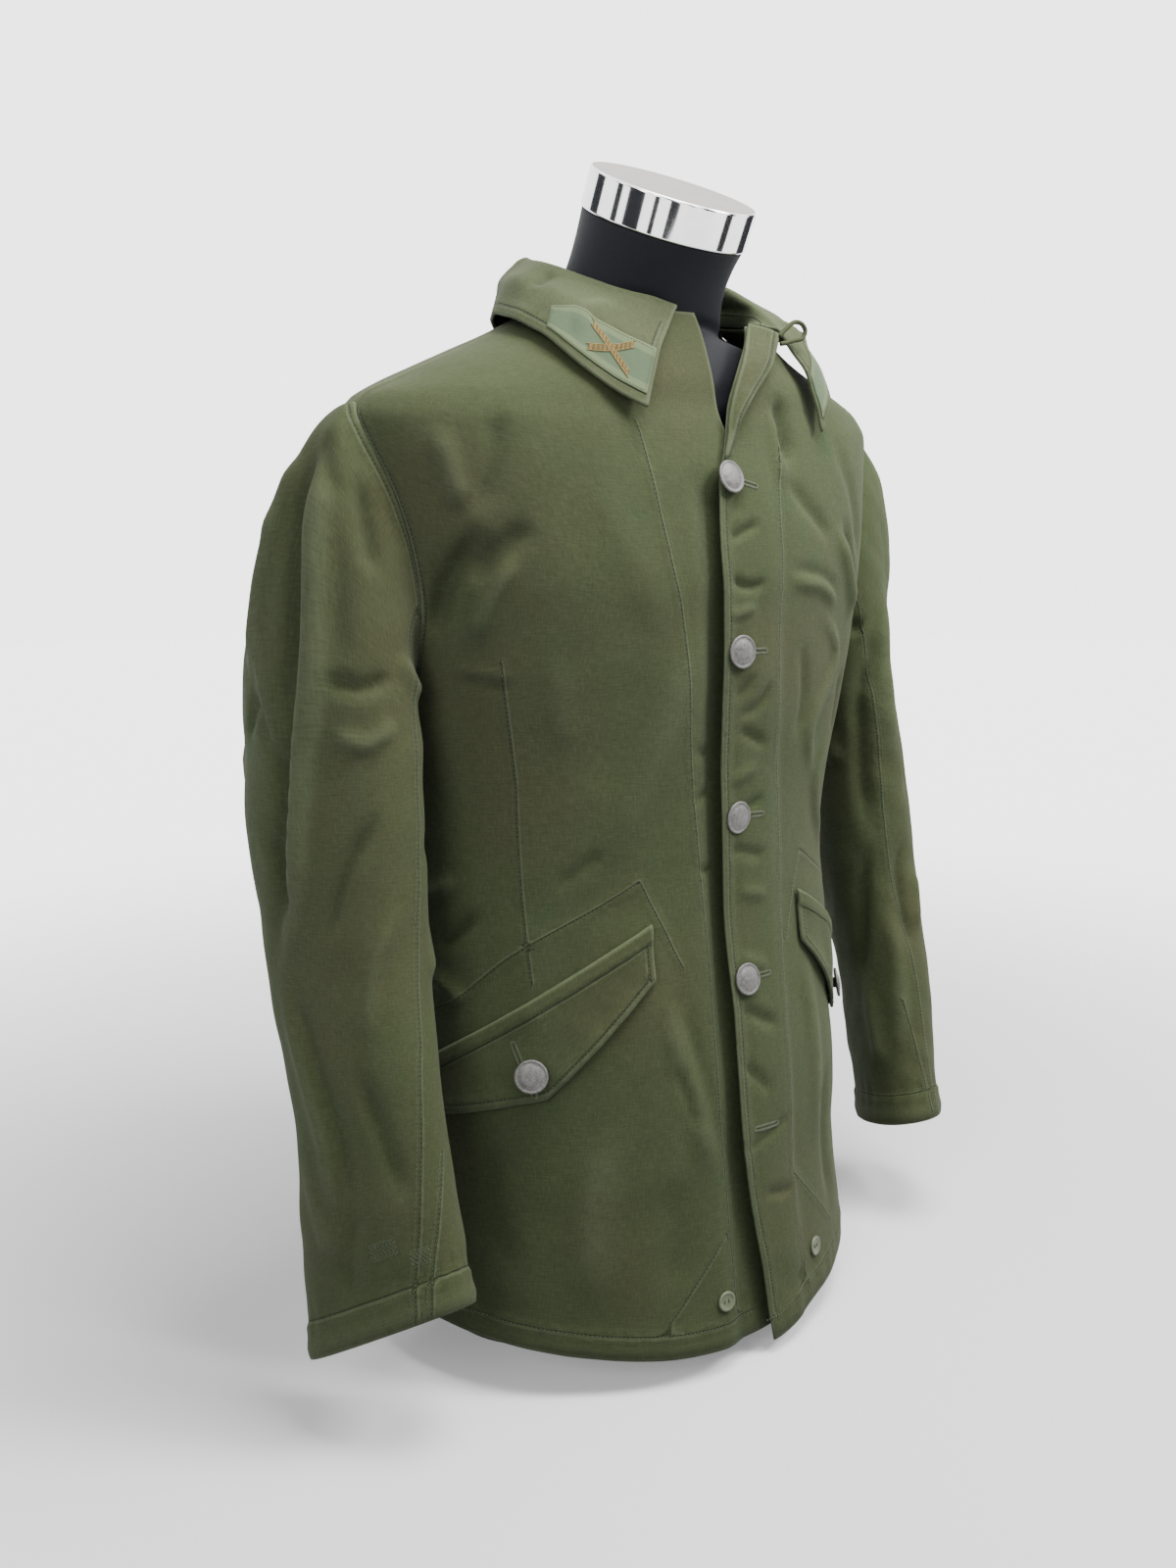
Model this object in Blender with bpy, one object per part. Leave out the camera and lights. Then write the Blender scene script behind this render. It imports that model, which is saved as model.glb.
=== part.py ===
"""A cotton field jacket, worn open at the neck on a limbless black dress form with a polished neck cap.

World axes: +Z up, the jacket's front faces -Y, the wearer's left is +X. The form's flat base stands on Z = 0.
Sizes are in millimetres and are turned to metres when a mesh is made. Every cloth piece is a closed wall
made from a surface of points: the fronts, the back, the flaps and the buttons all come from one body surface,
a superellipse whose half sizes change with height, so pieces that lie on each other keep their spacing.
"""

import math

import bmesh
import bpy
import numpy as np

MM = 0.001

# Cloth
CLOTH = 1.6             # wall of a single jacket panel
DOUBLE = 2.4            # wall of a faced piece: collar, flap, lapel
SEAM = 0.35             # space left between two pieces at a seam, and between layers

# Main levels, measured up from the base
ARMPIT = 465.0          # lowest point of the armhole
SHOULDER = 650.0        # outer end of the shoulder seam
NECKLINE = 714.0        # collar seam
NECK_LEFT = 705.0       # collar seam at the left front's turned-back corner
LAPEL_STAND = 4.0       # how far the opened neck of the left front stands off the body surface
BREAK = 626.0           # where the left front starts to turn back
ARMHOLE_FRONT = 0.26    # how far round the body the armhole is cut into the front, in radians
ARMHOLE_BACK = 0.34
HEM_FRONT = 17.0
HEM_SIDE = 43.0
HEM_BACK = 28.0
PLACKET_DROP = 7.0      # how much lower the left front's corner hangs
BODY_ROWS_BELOW = (60, 120, 190, 260, 330, 395, 440)    # heights of the panels' rows below the armpit
ARMHOLE_SHARES = (0.07, 0.2, 0.36, 0.52, 0.68, 0.82, 0.93, 1.0)     # rows up the armhole
SHOULDER_SHARES = (0.25, 0.5, 0.75, 1.0)    # rows from the shoulder's end to the neckline

# Closure
OVERLAP = {1: 17.0, -1: 23.0}   # where each front has its second column: the other front's edge
BUTTON_TOP = 605.0
BUTTON_PITCH = 112.0
BUTTON_COUNT = 4
BUTTON_X = -9.0
BUTTON_RADIUS = 11.2
CORNER_BUTTON_RADIUS = 7.0

# Body of the jacket: height, centre x, half width, depth in front, depth behind, power of the superellipse
BODY = np.array([
    (-20, -10, 192, 164, 122, 2.05),
    (90, -11, 187, 151, 117, 2.02),
    (220, -11, 183, 138, 111, 2.00),
    (350, -10, 178, 121, 104, 2.00),
    (450, -2, 192, 119, 108, 2.05),
    (530, 0, 206, 119, 113, 2.12),
    (590, 0, 218, 109, 111, 2.08),
    (640, 0, 229, 96, 105, 2.02),
    (654, 0, 220, 91, 102, 2.00),
    (668, 0, 190, 88, 98, 2.00),
    (684, 0, 152, 82, 91, 2.00),
    (700, 0, 114, 75, 83, 2.00),
    (718, 0, 76, 65, 73, 2.00),
])

# Front edges: height, distance of the edge to the wearer's left of the centre
RIGHT_EDGE = np.array([(0, 17), (560, 17), (612, 8), (650, -3), (722, -2)])
LEFT_EDGE = np.array([
    (0, -1), (60, -8), (120, -17), (170, -22), (545, -23),
    (600, -17), (628, -5), (645, 1), (664, 9), (680, 21), (698, 39), (722, 62),
])

# Sleeve below the armpit: height, centre x, centre y, half width, half depth, turn of the section in degrees
SLEEVE = np.array([
    (440, 238, 17, 41, 70, 8),
    (400, 244, 7, 40, 66, 12),
    (350, 247, -4, 40, 60, 16),
    (300, 250, -15, 39, 55, 20),
    (250, 253, -30, 35, 51, 25),
    (200, 254, -44, 32, 48, 30),
    (150, 255, -51, 31, 50, 33),
    (110, 255, -59, 29, 52, 35),
    (78, 255, -65, 28, 52, 35),
])
SLEEVE_POWER = 2.3
ELBOW = 330.0
CUFF_TILT = {-1: 0.62, 1: 0.32}     # rise of each cuff's front for each millimetre forward, right and left
CUFF_DROP = {-1: 8.0, 1: 0.0}       # how much lower each sleeve hangs at the cuff
SLEEVE_ROWS = 10
SLEEVE_HEAD_ROWS = 6
HEAD_FULLNESS = 0.60    # how far the sleeve head swells out before it falls, as a share of its height
UNDERARM_FULLNESS = 0.75
HEAD_FALL = 1.1         # how straight the head comes down into the sleeve
SEAM_TURN = SEAM / 34   # half the space at a lengthwise sleeve seam, in radians
SLEEVE_SEAM_FRONT = math.radians(78)
SLEEVE_SEAM_BACK = math.radians(284)

# Hip pocket flap: angle round the body, upper edge, lower edge
FLAP = np.array([
    (0.405, 317, 281),
    (0.62, 298, 245),
    (0.85, 277, 208),
    (1.10, 254, 199),
    (1.48, 220, 186),
])
FLAP_BUTTON = (0.91, 224)
FLAP_GAP = 0.8          # further space under a flap, which doesn't press on the front

# Collar: angle round the neck from the right front, seam, fold (x, y, z) and outer edge (x, y, z)
COLLAR_RIGHT = np.array([
    (0.28, -16, -66, 718, -73, -100, 649),
    (0.62, -41, -56, 726, -91, -87, 661),
    (1.05, -63, -37, 734, -110, -72, 679),
    (1.30, -73, -20, 741, -118, -48, 696),
    (1.57, -78, -2, 747, -118, -9, 710),
    (2.15, -62, 34, 755, -91, 38, 712),
    (2.70, -34, 55, 757, -50, 78, 705),
    (3.14, 0, 62, 758, 0, 92, 702),
])
COLLAR_LEFT = np.array([
    (3.14, 0, 62, 758, 0, 92, 702),
    (2.70, 34, 55, 757, 50, 78, 705),
    (2.15, 62, 34, 755, 93, 38, 713),
    (1.57, 83, -2, 747, 127, -12, 712),
    (1.15, 82, -34, 732, 129, -56, 692),
    (0.88, 80, -56, 718, 115, -85, 664),
    (0.78, 79, -66, 711, 98, -95, 640),
])

FOLD_BULGE = 6.0        # how far a leaf swells between its fold and its edge
FOLD_RISE = 5.0

# Patch on a collar leaf: place along the leaf in collar rows from its front end, share of its full height there
PATCH = np.array([(0.10, 0.88), (0.55, 0.88), (1.0, 0.88), (1.5, 0.88), (2.0, 0.88), (2.5, 0.88), (3.0, 0.55)])
PATCH_THICK = 1.0
PATCH_LOW = 0.16        # space below a patch, as a share of the way from the leaf's edge to its bulge

# Lapel, the turned-back top of the left front: height on the roll line, free edge (x, y, z)
LAPEL = np.array([
    (632, 1, -104, 633),
    (646, 10, -103, 648),
    (664, 28, -98, 665),
    (682, 50, -90, 682),
    (706, 70, -77, 705),
])

# Dress form: height, centre y, half width, depth in front, depth behind
FORM = np.array([
    (0, 0, 150, 92, 88),
    (12, 0, 160, 98, 94),
    (120, 0, 168, 102, 98),
    (260, 0, 158, 92, 88),
    (420, 0, 168, 100, 95),
    (530, 0, 182, 101, 98),
    (600, 0, 196, 93, 98),
    (636, 0, 200, 86, 96),
])
# Form's shoulders: height, distance inside the jacket's cloth
FORM_SHOULDER = np.array([(652, 1.4), (662, 1.4), (674, 1.6), (688, 3.0), (702, 7.0), (716, 14.0)])
FORM_TIP = 165.0        # how far out the form's shoulders carry the cloth
FORM_NECK_ROWS = 5
FORM_WAIST = 0.09       # how much the neck narrows between the shoulders and the cap
CAP_RADIUS = 58.0
CAP_HEIGHT = 26.0
CAP_TILT = math.radians(24)
CAP_TOP = np.array([0.0, -45.0, 797.0])

COLOURS = {
    "cloth": (0.085, 0.105, 0.045),
    "patch": (0.20, 0.26, 0.15),
    "metal": (0.20, 0.20, 0.18),
    "plastic": (0.07, 0.09, 0.05),
    "form": (0.012, 0.012, 0.014),
    "chrome": (0.80, 0.80, 0.79),
}


def clear_scene():
    for item in list(bpy.data.objects):
        bpy.data.objects.remove(item, do_unlink=True)


def smooth(table, column, at):
    """Value of a table's column at any height, through every row, with no overshoot between rows."""
    rows = table[np.argsort(table[:, 0])]
    x = rows[:, 0]
    y = rows[:, column]
    step = np.diff(x)
    slope = np.diff(y) / step
    tangent = np.zeros(len(x))
    tangent[0] = slope[0]
    tangent[-1] = slope[-1]
    same = slope[:-1] * slope[1:] > 0
    before = np.where(same, slope[:-1], 1.0)
    after = np.where(same, slope[1:], 1.0)
    weight_a = 2 * step[1:] + step[:-1]
    weight_b = step[1:] + 2 * step[:-1]
    mean = (weight_a + weight_b) / (weight_a / before + weight_b / after)
    tangent[1:-1] = np.where(same, mean, 0.0)
    at = np.clip(np.asarray(at, float), x[0], x[-1])
    i = np.clip(np.searchsorted(x, at, side="right") - 1, 0, len(step) - 1)
    t = (at - x[i]) / step[i]
    h00 = (1 + 2 * t) * (1 - t) ** 2
    h10 = t * (1 - t) ** 2
    h01 = t * t * (3 - 2 * t)
    h11 = t * t * (t - 1)
    return h00 * y[i] + h10 * step[i] * tangent[i] + h01 * y[i + 1] + h11 * step[i] * tangent[i + 1]


def ease(t):
    t = np.clip(t, 0.0, 1.0)
    return t * t * (3 - 2 * t)


def signed_power(value, power):
    return np.sign(value) * np.abs(value) ** power


def body(angle, height):
    """Point of the body surface: angle 0 is the centre front and grows to the wearer's left."""
    angle, height = np.broadcast_arrays(np.asarray(angle, float), np.asarray(height, float))
    wide = smooth(BODY, 2, height)
    deep = np.where(np.cos(angle) > 0, smooth(BODY, 3, height), smooth(BODY, 4, height))
    power = 2.0 / smooth(BODY, 5, height)
    x = smooth(BODY, 1, height) + wide * signed_power(np.sin(angle), power)
    y = -deep * signed_power(np.cos(angle), power)
    return np.stack([x, y, height], axis=-1)


def body_out(angle, height, out):
    """The body surface moved outwards along its own normal."""
    here = body(angle, height)
    tiny = 0.02
    across = body(np.asarray(angle) + tiny, height) - body(np.asarray(angle) - tiny, height)
    up = body(angle, np.asarray(height) + 1.5) - body(angle, np.asarray(height) - 1.5)
    normal = np.cross(across, up)
    normal /= np.linalg.norm(normal, axis=-1, keepdims=True)
    return here + normal * np.asarray(out)[..., None]


def angle_of(x, height):
    """Angle round the front where the body surface is x to the wearer's left."""
    x = x - smooth(BODY, 1, height)
    wide = smooth(BODY, 2, height)
    power = smooth(BODY, 5, height) / 2.0
    return np.sign(x) * np.arcsin(np.clip(np.abs(x) / wide, 0, 1) ** power)


def armhole_angle(height, behind):
    """How far round the body a front or back panel reaches: the side seam, the armhole or the shoulder seam."""
    part = np.clip((height - ARMPIT) / (SHOULDER - ARMPIT), 0, 1)
    bite = np.sin(math.pi * part) ** 0.5 * (ARMHOLE_BACK if behind else ARMHOLE_FRONT)
    return math.pi / 2 - bite


def hem(angle, behind):
    low = HEM_BACK if behind else HEM_FRONT
    return low + (HEM_SIDE - low) * np.sin(angle) ** 2


def make_mesh(name, points, faces, colour, rough=0.9, metal=0.0):
    mesh = bpy.data.meshes.new(name)
    mesh.from_pydata((np.asarray(points) * MM).tolist(), [], [tuple(map(int, f)) for f in faces])
    shell = bmesh.new()
    shell.from_mesh(mesh)
    bmesh.ops.recalc_face_normals(shell, faces=shell.faces)
    shell.to_mesh(mesh)
    shell.free()
    mesh.update()
    thing = bpy.data.objects.new(name, mesh)
    bpy.context.scene.collection.objects.link(thing)
    material = bpy.data.materials.new(name + "_finish")
    material.use_nodes = True
    shader = material.node_tree.nodes["Principled BSDF"]
    shader.inputs["Base Color"].default_value = (*COLOURS[colour], 1.0)
    shader.inputs["Roughness"].default_value = rough
    shader.inputs["Metallic"].default_value = metal
    mesh.materials.append(material)
    return thing


def grid_normals(grid):
    """Unit normals of a surface of points, rows up and columns across."""
    up = np.gradient(grid, axis=0)
    across = np.gradient(grid, axis=1)
    normal = np.cross(across, up)
    return normal / np.maximum(np.linalg.norm(normal, axis=-1, keepdims=True), 1e-9)


def wall(name, outer, inner, colour, **finish):
    """A closed wall between two surfaces of points with the same rows and columns."""
    rows, columns, _ = outer.shape
    index = np.arange(rows * columns).reshape(rows, columns)
    under = index + rows * columns
    faces = []
    for i in range(rows - 1):
        for j in range(columns - 1):
            faces.append((index[i, j], index[i, j + 1], index[i + 1, j + 1], index[i + 1, j]))
            faces.append((under[i, j], under[i + 1, j], under[i + 1, j + 1], under[i, j + 1]))
    rim = list(index[0, :]) + list(index[1:, -1]) + list(index[-1, -2::-1]) + list(index[-2:0:-1, 0])
    for a, b in zip(rim, rim[1:] + rim[:1]):
        faces.append((b, a, a + rows * columns, b + rows * columns))
    points = np.concatenate([outer.reshape(-1, 3), inner.reshape(-1, 3)])
    return make_mesh(name, points, faces, colour, **finish)


def sheet(name, grid, thickness, colour="cloth", **finish):
    """A wall of one thickness around a surface of points."""
    half = grid_normals(grid) * thickness / 2
    return wall(name, grid + half, grid - half, colour, **finish)


def revolve(name, profile, centre, axis, colour, sides=24, **finish):
    """A closed turned solid. The profile is (radius, height) from the axis at the bottom to the axis at the top."""
    axis = np.asarray(axis, float) / np.linalg.norm(axis)
    side = np.cross(axis, (0.0, 0.0, 1.0) if abs(axis[2]) < 0.9 else (0.0, 1.0, 0.0))
    side /= np.linalg.norm(side)
    other = np.cross(axis, side)
    turn = np.arange(sides) * 2 * math.pi / sides
    around = np.cos(turn)[:, None] * side + np.sin(turn)[:, None] * other
    points = [np.asarray(centre) + axis * profile[0][1]]
    for radius, height in profile[1:-1]:
        points.extend(np.asarray(centre) + around * radius + axis * height)
    points.append(np.asarray(centre) + axis * profile[-1][1])
    rings = len(profile) - 2
    faces = []
    for k in range(sides):
        n = (k + 1) % sides
        faces.append((0, 1 + n, 1 + k))
        for r in range(rings - 1):
            low = 1 + r * sides
            faces.append((low + k, low + n, low + sides + n, low + sides + k))
        last = 1 + (rings - 1) * sides
        faces.append((last + k, last + n, len(points) - 1))
    return make_mesh(name, np.array(points), faces, colour, **finish)


def panel_levels(neck=NECKLINE):
    """Heights of a panel's rows along its outer edge and along its centre edge, above the hem row."""
    below = np.array([*BODY_ROWS_BELOW, ARMPIT])
    armhole = ARMPIT + (SHOULDER - ARMPIT) * np.array(ARMHOLE_SHARES)
    top = SHOULDER + (NECKLINE - SHOULDER) * np.array(SHOULDER_SHARES)
    outer = np.concatenate([below, armhole, top])
    climb = len(armhole) + len(top)
    centre = np.concatenate([below, ARMPIT + (neck - ARMPIT) * np.arange(1, climb + 1) / climb])
    return outer, centre


def front_grid(side, edge, neck, columns=13):
    """Rows from the hem to the neckline, columns from the front edge to the side seam, armhole and shoulder."""
    outer, centre = panel_levels(neck)
    across = np.linspace(0, 1, columns - 1)
    grid = np.zeros((len(outer) + 1, columns, 2))
    for row in range(len(outer) + 1):
        level = HEM_SIDE if row == 0 else outer[row - 1]
        middle = HEM_FRONT if row == 0 else centre[row - 1]
        far = armhole_angle(level, False) - SEAM / 100
        height = np.full(columns, float(middle))
        for _ in range(4):
            rim = smooth(edge, 1, height[0]) * side
            second = max(OVERLAP[side], rim + 9)
            near = angle_of(second * side, height[1]) * side
            angle = np.concatenate([[angle_of(rim * side, height[0]) * side], near + (far - near) * across])
            if row == 0:
                height = hem(angle, False)
            else:
                height = middle + (level - middle) * (np.abs(angle) / far) ** 1.4
        grid[row, :, 0] = angle * side
        grid[row, :, 1] = height
    return grid


def right_front():
    grid = front_grid(-1, RIGHT_EDGE, NECKLINE)[:, ::-1]
    return wall(
        "right_front",
        body_out(grid[..., 0], grid[..., 1], np.full(grid.shape[:2], CLOTH / 2)),
        body_out(grid[..., 0], grid[..., 1], np.full(grid.shape[:2], -CLOTH / 2)),
        "cloth",
    )


def left_lift(x, height):
    """How far the left front lies outside the body surface: over the right front, and standing off at the lapel."""
    over = (CLOTH + SEAM) * (1 - ease((x - 20) / 25))
    stand = LAPEL_STAND * ease((height - BREAK) / 50) * (1 - ease((x - 60) / 60))
    return over + stand


def left_surface(angle, height, out):
    x = body(angle, height)[..., 0]
    return body_out(angle, height, left_lift(x, height) + out)


def left_front():
    grid = front_grid(1, LEFT_EDGE, NECK_LEFT)
    drop = PLACKET_DROP * (1 - ease(np.abs(body(grid[0, :, 0], grid[0, :, 1])[:, 0]) / 60))
    grid[0, :, 1] -= drop
    return wall(
        "left_front",
        left_surface(grid[..., 0], grid[..., 1], CLOTH / 2),
        left_surface(grid[..., 0], grid[..., 1], -CLOTH / 2),
        "cloth",
    )


def back():
    outer, centre = panel_levels()
    columns = 17
    across = np.linspace(-1, 1, columns)
    grid = np.zeros((len(outer) + 1, columns, 2))
    for row in range(len(outer) + 1):
        edge_height = HEM_SIDE if row == 0 else outer[row - 1]
        reach = armhole_angle(edge_height, True) - SEAM / 100
        angle = math.pi - across * reach
        if row == 0:
            height = hem(angle, True)
        else:
            height = centre[row - 1] + (outer[row - 1] - centre[row - 1]) * np.abs(across) ** 1.6
        grid[row, :, 0] = angle
        grid[row, :, 1] = height
    grid = grid[:, ::-1]
    full = np.full(grid.shape[:2], CLOTH / 2)
    return wall(
        "back",
        body_out(grid[..., 0], grid[..., 1], full),
        body_out(grid[..., 0], grid[..., 1], -full),
        "cloth",
    )


def sleeve_ring(turn, height, side):
    """Section of a sleeve, x measured outwards: turn 0 faces the body, a quarter turn is the front."""
    power = 2.0 / SLEEVE_POWER
    across = -smooth(SLEEVE, 3, height) * signed_power(np.cos(turn), power)
    along = -smooth(SLEEVE, 4, height) * signed_power(np.sin(turn), power)
    swing = np.radians(smooth(SLEEVE, 5, height))
    x = smooth(SLEEVE, 1, height) + across * np.cos(swing) + along * np.sin(swing)
    back = along * np.cos(swing) - across * np.sin(swing)
    fall = ease((ELBOW - height) / (ELBOW - SLEEVE[-1, 0]))
    z = height - fall * (CUFF_DROP[side] + CUFF_TILT[side] * back)
    return np.stack([x, smooth(SLEEVE, 2, height) + back, z], axis=-1)


def armhole_ring(turn, side):
    """Edge of one armhole, with the same turn as the sleeve's sections and x measured outwards on either side."""
    height = ARMPIT + (SHOULDER - ARMPIT) * (1 - np.cos(turn)) / 2
    behind = turn > math.pi
    reach = np.where(behind, armhole_angle(height, True), armhole_angle(height, False))
    return body(np.where(behind, math.pi - reach, reach) * side, height) * (side, 1, 1)


def sleeve_grid(turn, side):
    """Rows from the armhole to the cuff for the given turns: a curved head, then the sections' table."""
    start = armhole_ring(turn, side)
    top, cuff = SLEEVE[[0, -1], 0]
    end = sleeve_ring(turn, np.full(turn.shape, top), side)
    span = np.linalg.norm(end - start, axis=-1, keepdims=True)
    high = ((1 - np.cos(turn)) / 2)[:, None]
    leave = np.concatenate([
        0.55 + 0.45 * high,
        -0.25 * np.sin(turn)[:, None] * (1 - 0.4 * high),
        -0.55 + 0.45 * high,
    ], axis=1)
    leave /= np.linalg.norm(leave, axis=1, keepdims=True)
    start = start + leave * (SEAM + CLOTH * (1.5 - 0.5 * high))
    fullness = UNDERARM_FULLNESS + (HEAD_FULLNESS - UNDERARM_FULLNESS) * high
    arrive = np.array([0.05, -0.2, -1.0])
    arrive = arrive / np.linalg.norm(arrive)
    grid = []
    for k in range(SLEEVE_HEAD_ROWS):
        t = k / SLEEVE_HEAD_ROWS
        h00 = (1 + 2 * t) * (1 - t) ** 2
        h10 = t * (1 - t) ** 2
        h01 = t * t * (3 - 2 * t)
        h11 = t * t * (t - 1)
        grid.append(h00 * start + h10 * leave * span * fullness + h01 * end + h11 * arrive * span * HEAD_FALL)
    for height in np.linspace(top, cuff, SLEEVE_ROWS):
        grid.append(sleeve_ring(turn, np.full(turn.shape, height), side))
    return np.array(grid)


def sleeve(side, label):
    """Top sleeve and under sleeve of one arm, parted at the front and back seams."""
    gap = SEAM_TURN
    spans = {
        "top_sleeve": np.linspace(SLEEVE_SEAM_FRONT + gap, SLEEVE_SEAM_BACK - gap, 11),
        "under_sleeve": np.linspace(SLEEVE_SEAM_BACK + gap, SLEEVE_SEAM_FRONT + 2 * math.pi - gap, 8),
    }
    for kind, turn in spans.items():
        grid = sleeve_grid(np.mod(turn, 2 * math.pi), side)[::-1, ::-1] * (side, 1, 1)
        if side < 0:
            grid = grid[:, ::-1]
        sheet(f"{label}_{kind}", grid, CLOTH)


def collar():
    """One strip folded over along the neck: stand, fold and leaf, from the right end round the back to the left."""
    rows = []
    for side, table in ((-1, COLLAR_RIGHT), (1, COLLAR_LEFT)):
        for angle, *rest in table[: -1 if side < 0 else None]:
            low = NECK_LEFT if side > 0 and angle < math.pi / 2 else NECKLINE
            height = np.array(low + (NECKLINE - low) * (angle / (math.pi / 2)) ** 1.4)
            surface = left_surface if side > 0 and angle < math.pi / 2 else body_out
            seam = surface(np.array(side * angle), height, np.array(0.0)) + (0, 0, 2.6)
            fold = np.array(rest[:3], float)
            edge = np.array(rest[3:], float)
            out = edge - fold
            out[2] = 0
            out /= np.linalg.norm(out)
            bulge = (fold + edge) / 2 + out * FOLD_BULGE + (0, 0, FOLD_RISE)
            rows.append([
                seam,
                seam + (fold - seam) * 0.5,
                fold - out * 1.5 - (0, 0, 2.0),
                fold + (0, 0, 0.8),
                fold + out * 3.0 - (0, 0, 0.8),
                fold + (bulge - fold) * 0.55,
                bulge,
                bulge + (edge - bulge) * 0.5,
                edge,
            ])
    grid = np.array(rows).transpose(1, 0, 2)
    return sheet("collar", grid, DOUBLE)


def lapel():
    """The turned-back top of the left front, a faced wedge between the roll line and its free edge."""
    rows = []
    for height, x, y, z in LAPEL:
        angle = angle_of(smooth(LEFT_EDGE, 1, height), height)
        roll = left_surface(angle, np.array(height), CLOTH / 2 + SEAM * 3 + DOUBLE / 2)
        free = np.array([x, y, z])
        rows.append([roll + (free - roll) * t for t in np.linspace(0, 1, 4)])
    return sheet("left_lapel", np.array(rows), DOUBLE)


def lying_on_body(angle, height, gap, thickness):
    """Both faces of a piece that lies on a front, made from the front's own points."""
    out = CLOTH / 2 + SEAM + gap
    return (
        body_out(angle, height, np.full(angle.shape, out + thickness)),
        body_out(angle, height, np.full(angle.shape, out)),
    )


def flap(side, label):
    along = np.linspace(FLAP[0, 0], FLAP[-1, 0], 9)
    upper = np.interp(along, FLAP[:, 0], FLAP[:, 1])
    lower = np.interp(along, FLAP[:, 0], FLAP[:, 2])
    height = lower + (upper - lower) * np.linspace(0, 1, 4)[:, None]
    angle = np.broadcast_to(along, height.shape) * side
    outer, inner = lying_on_body(angle, height, FLAP_GAP, DOUBLE)
    if side < 0:
        outer = outer[:, ::-1]
        inner = inner[:, ::-1]
    return wall(f"{label}_pocket_flap", outer, inner, "cloth")


def button(name, centre, axis, radius=BUTTON_RADIUS, colour="metal", metal=0.6):
    """A stamped button: a domed face over a short shank that reaches back to the cloth."""
    profile = [
        (0, 0), (radius * 0.36, 0), (radius * 0.36, 2.2), (radius, 2.6),
        (radius * 0.96, 4.0), (radius * 0.55, 5.4), (0, 5.7),
    ]
    return revolve(name, profile, centre, axis, colour, sides=16, rough=0.5, metal=metal)


def normal_at(point, further):
    step = further - point
    return step / np.linalg.norm(step)


def front_buttons():
    for k in range(BUTTON_COUNT):
        height = np.array(BUTTON_TOP - k * BUTTON_PITCH)
        angle = angle_of(np.array(BUTTON_X), height)
        base = left_surface(angle, height, CLOTH / 2 + SEAM)
        normal = normal_at(base, left_surface(angle, height, CLOTH / 2 + SEAM + 5))
        button(f"front_button_{k + 1}", base, normal)


def corner_buttons():
    for label, x, height in (("right", -43, 51), ("left", 56, 55)):
        angle = angle_of(np.array(float(x)), np.array(float(height)))
        surface = left_surface if x > 0 else body_out
        base = surface(angle, np.array(float(height)), np.array(CLOTH / 2 + SEAM))
        normal = normal_at(base, surface(angle, np.array(float(height)), np.array(CLOTH / 2 + SEAM + 5)))
        radius = CORNER_BUTTON_RADIUS
        profile = [(0, 0), (radius * 0.85, 0), (radius, 0.8), (radius * 0.97, 1.8), (radius * 0.7, 2.3), (0, 2.0)]
        revolve(f"{label}_corner_button", profile, base, normal, "plastic", sides=20, rough=0.5)


def flap_buttons():
    for side, label in ((-1, "right"), (1, "left")):
        angle = np.array(FLAP_BUTTON[0] * side)
        height = np.array(float(FLAP_BUTTON[1]))
        out = CLOTH / 2 + SEAM + FLAP_GAP + DOUBLE + SEAM
        base = body_out(angle, height, np.array(out))
        normal = normal_at(base, body_out(angle, height, np.array(out + 5)))
        button(f"{label}_flap_button", base, normal)


def collar_patches():
    """Woven patches on the front ends of both collar leaves, laid over the leaf."""
    for table, label in ((COLLAR_RIGHT, "right"), (COLLAR_LEFT[::-1], "left")):
        rows = []
        for along, share in PATCH:
            i = min(int(along), len(table) - 2)
            row = table[i] + (table[i + 1] - table[i]) * (along - i)
            fold = row[1:4]
            edge = row[4:7]
            out = edge - fold
            out[2] = 0
            out /= np.linalg.norm(out)
            bulge = (fold + edge) / 2 + out * FOLD_BULGE + (0, 0, FOLD_RISE)
            low = edge + (bulge - edge) * PATCH_LOW
            rows.append([low + (bulge - low) * share * t for t in (0.0, 0.5, 1.0)])
        grid = np.array(rows).transpose(1, 0, 2)
        if label == "right":
            grid = grid[:, ::-1]
        lift = grid_normals(grid) * (DOUBLE / 2 + SEAM + 0.7)
        sheet(f"{label}_collar_patch", grid + lift, PATCH_THICK, colour="patch")


def neck_loop():
    """A rouleau loop sewn to the lapel's corner: both ends in the corner, the bend standing out."""
    corner = LAPEL[-1, 1:]
    path = corner + np.array([
        (0.9, -0.3, -1.5), (5, -1, 2.5), (13, -2, 8.5), (20, -3, 8.5), (24, -3.5, 4),
        (21, -3.5, -1.5), (13, -3, -3.5), (6, -2.5, -5.5), (0.9, -1.0, -6.5),
    ])
    radius = 1.5
    sides = 8
    turn = np.arange(sides) * 2 * math.pi / sides
    direction = np.gradient(path, axis=0)
    direction /= np.linalg.norm(direction, axis=1, keepdims=True)
    flat = np.cross(path[2] - path[0], path[6] - path[0])
    flat /= np.linalg.norm(flat)
    points = []
    for here, way in zip(path, direction):
        side = np.cross(way, flat)
        side /= np.linalg.norm(side)
        lift = np.cross(side, way)
        points.extend(here + radius * (np.cos(turn)[:, None] * side + np.sin(turn)[:, None] * lift))
    faces = [tuple(range(sides))[::-1], tuple(range(len(points) - sides, len(points)))]
    for ring in range(len(path) - 1):
        for k in range(sides):
            low = ring * sides
            n = (k + 1) % sides
            faces.append((low + k, low + n, low + sides + n, low + sides + k))
    thing = make_mesh("neck_loop", np.array(points), faces, "cloth")
    return thing


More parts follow.
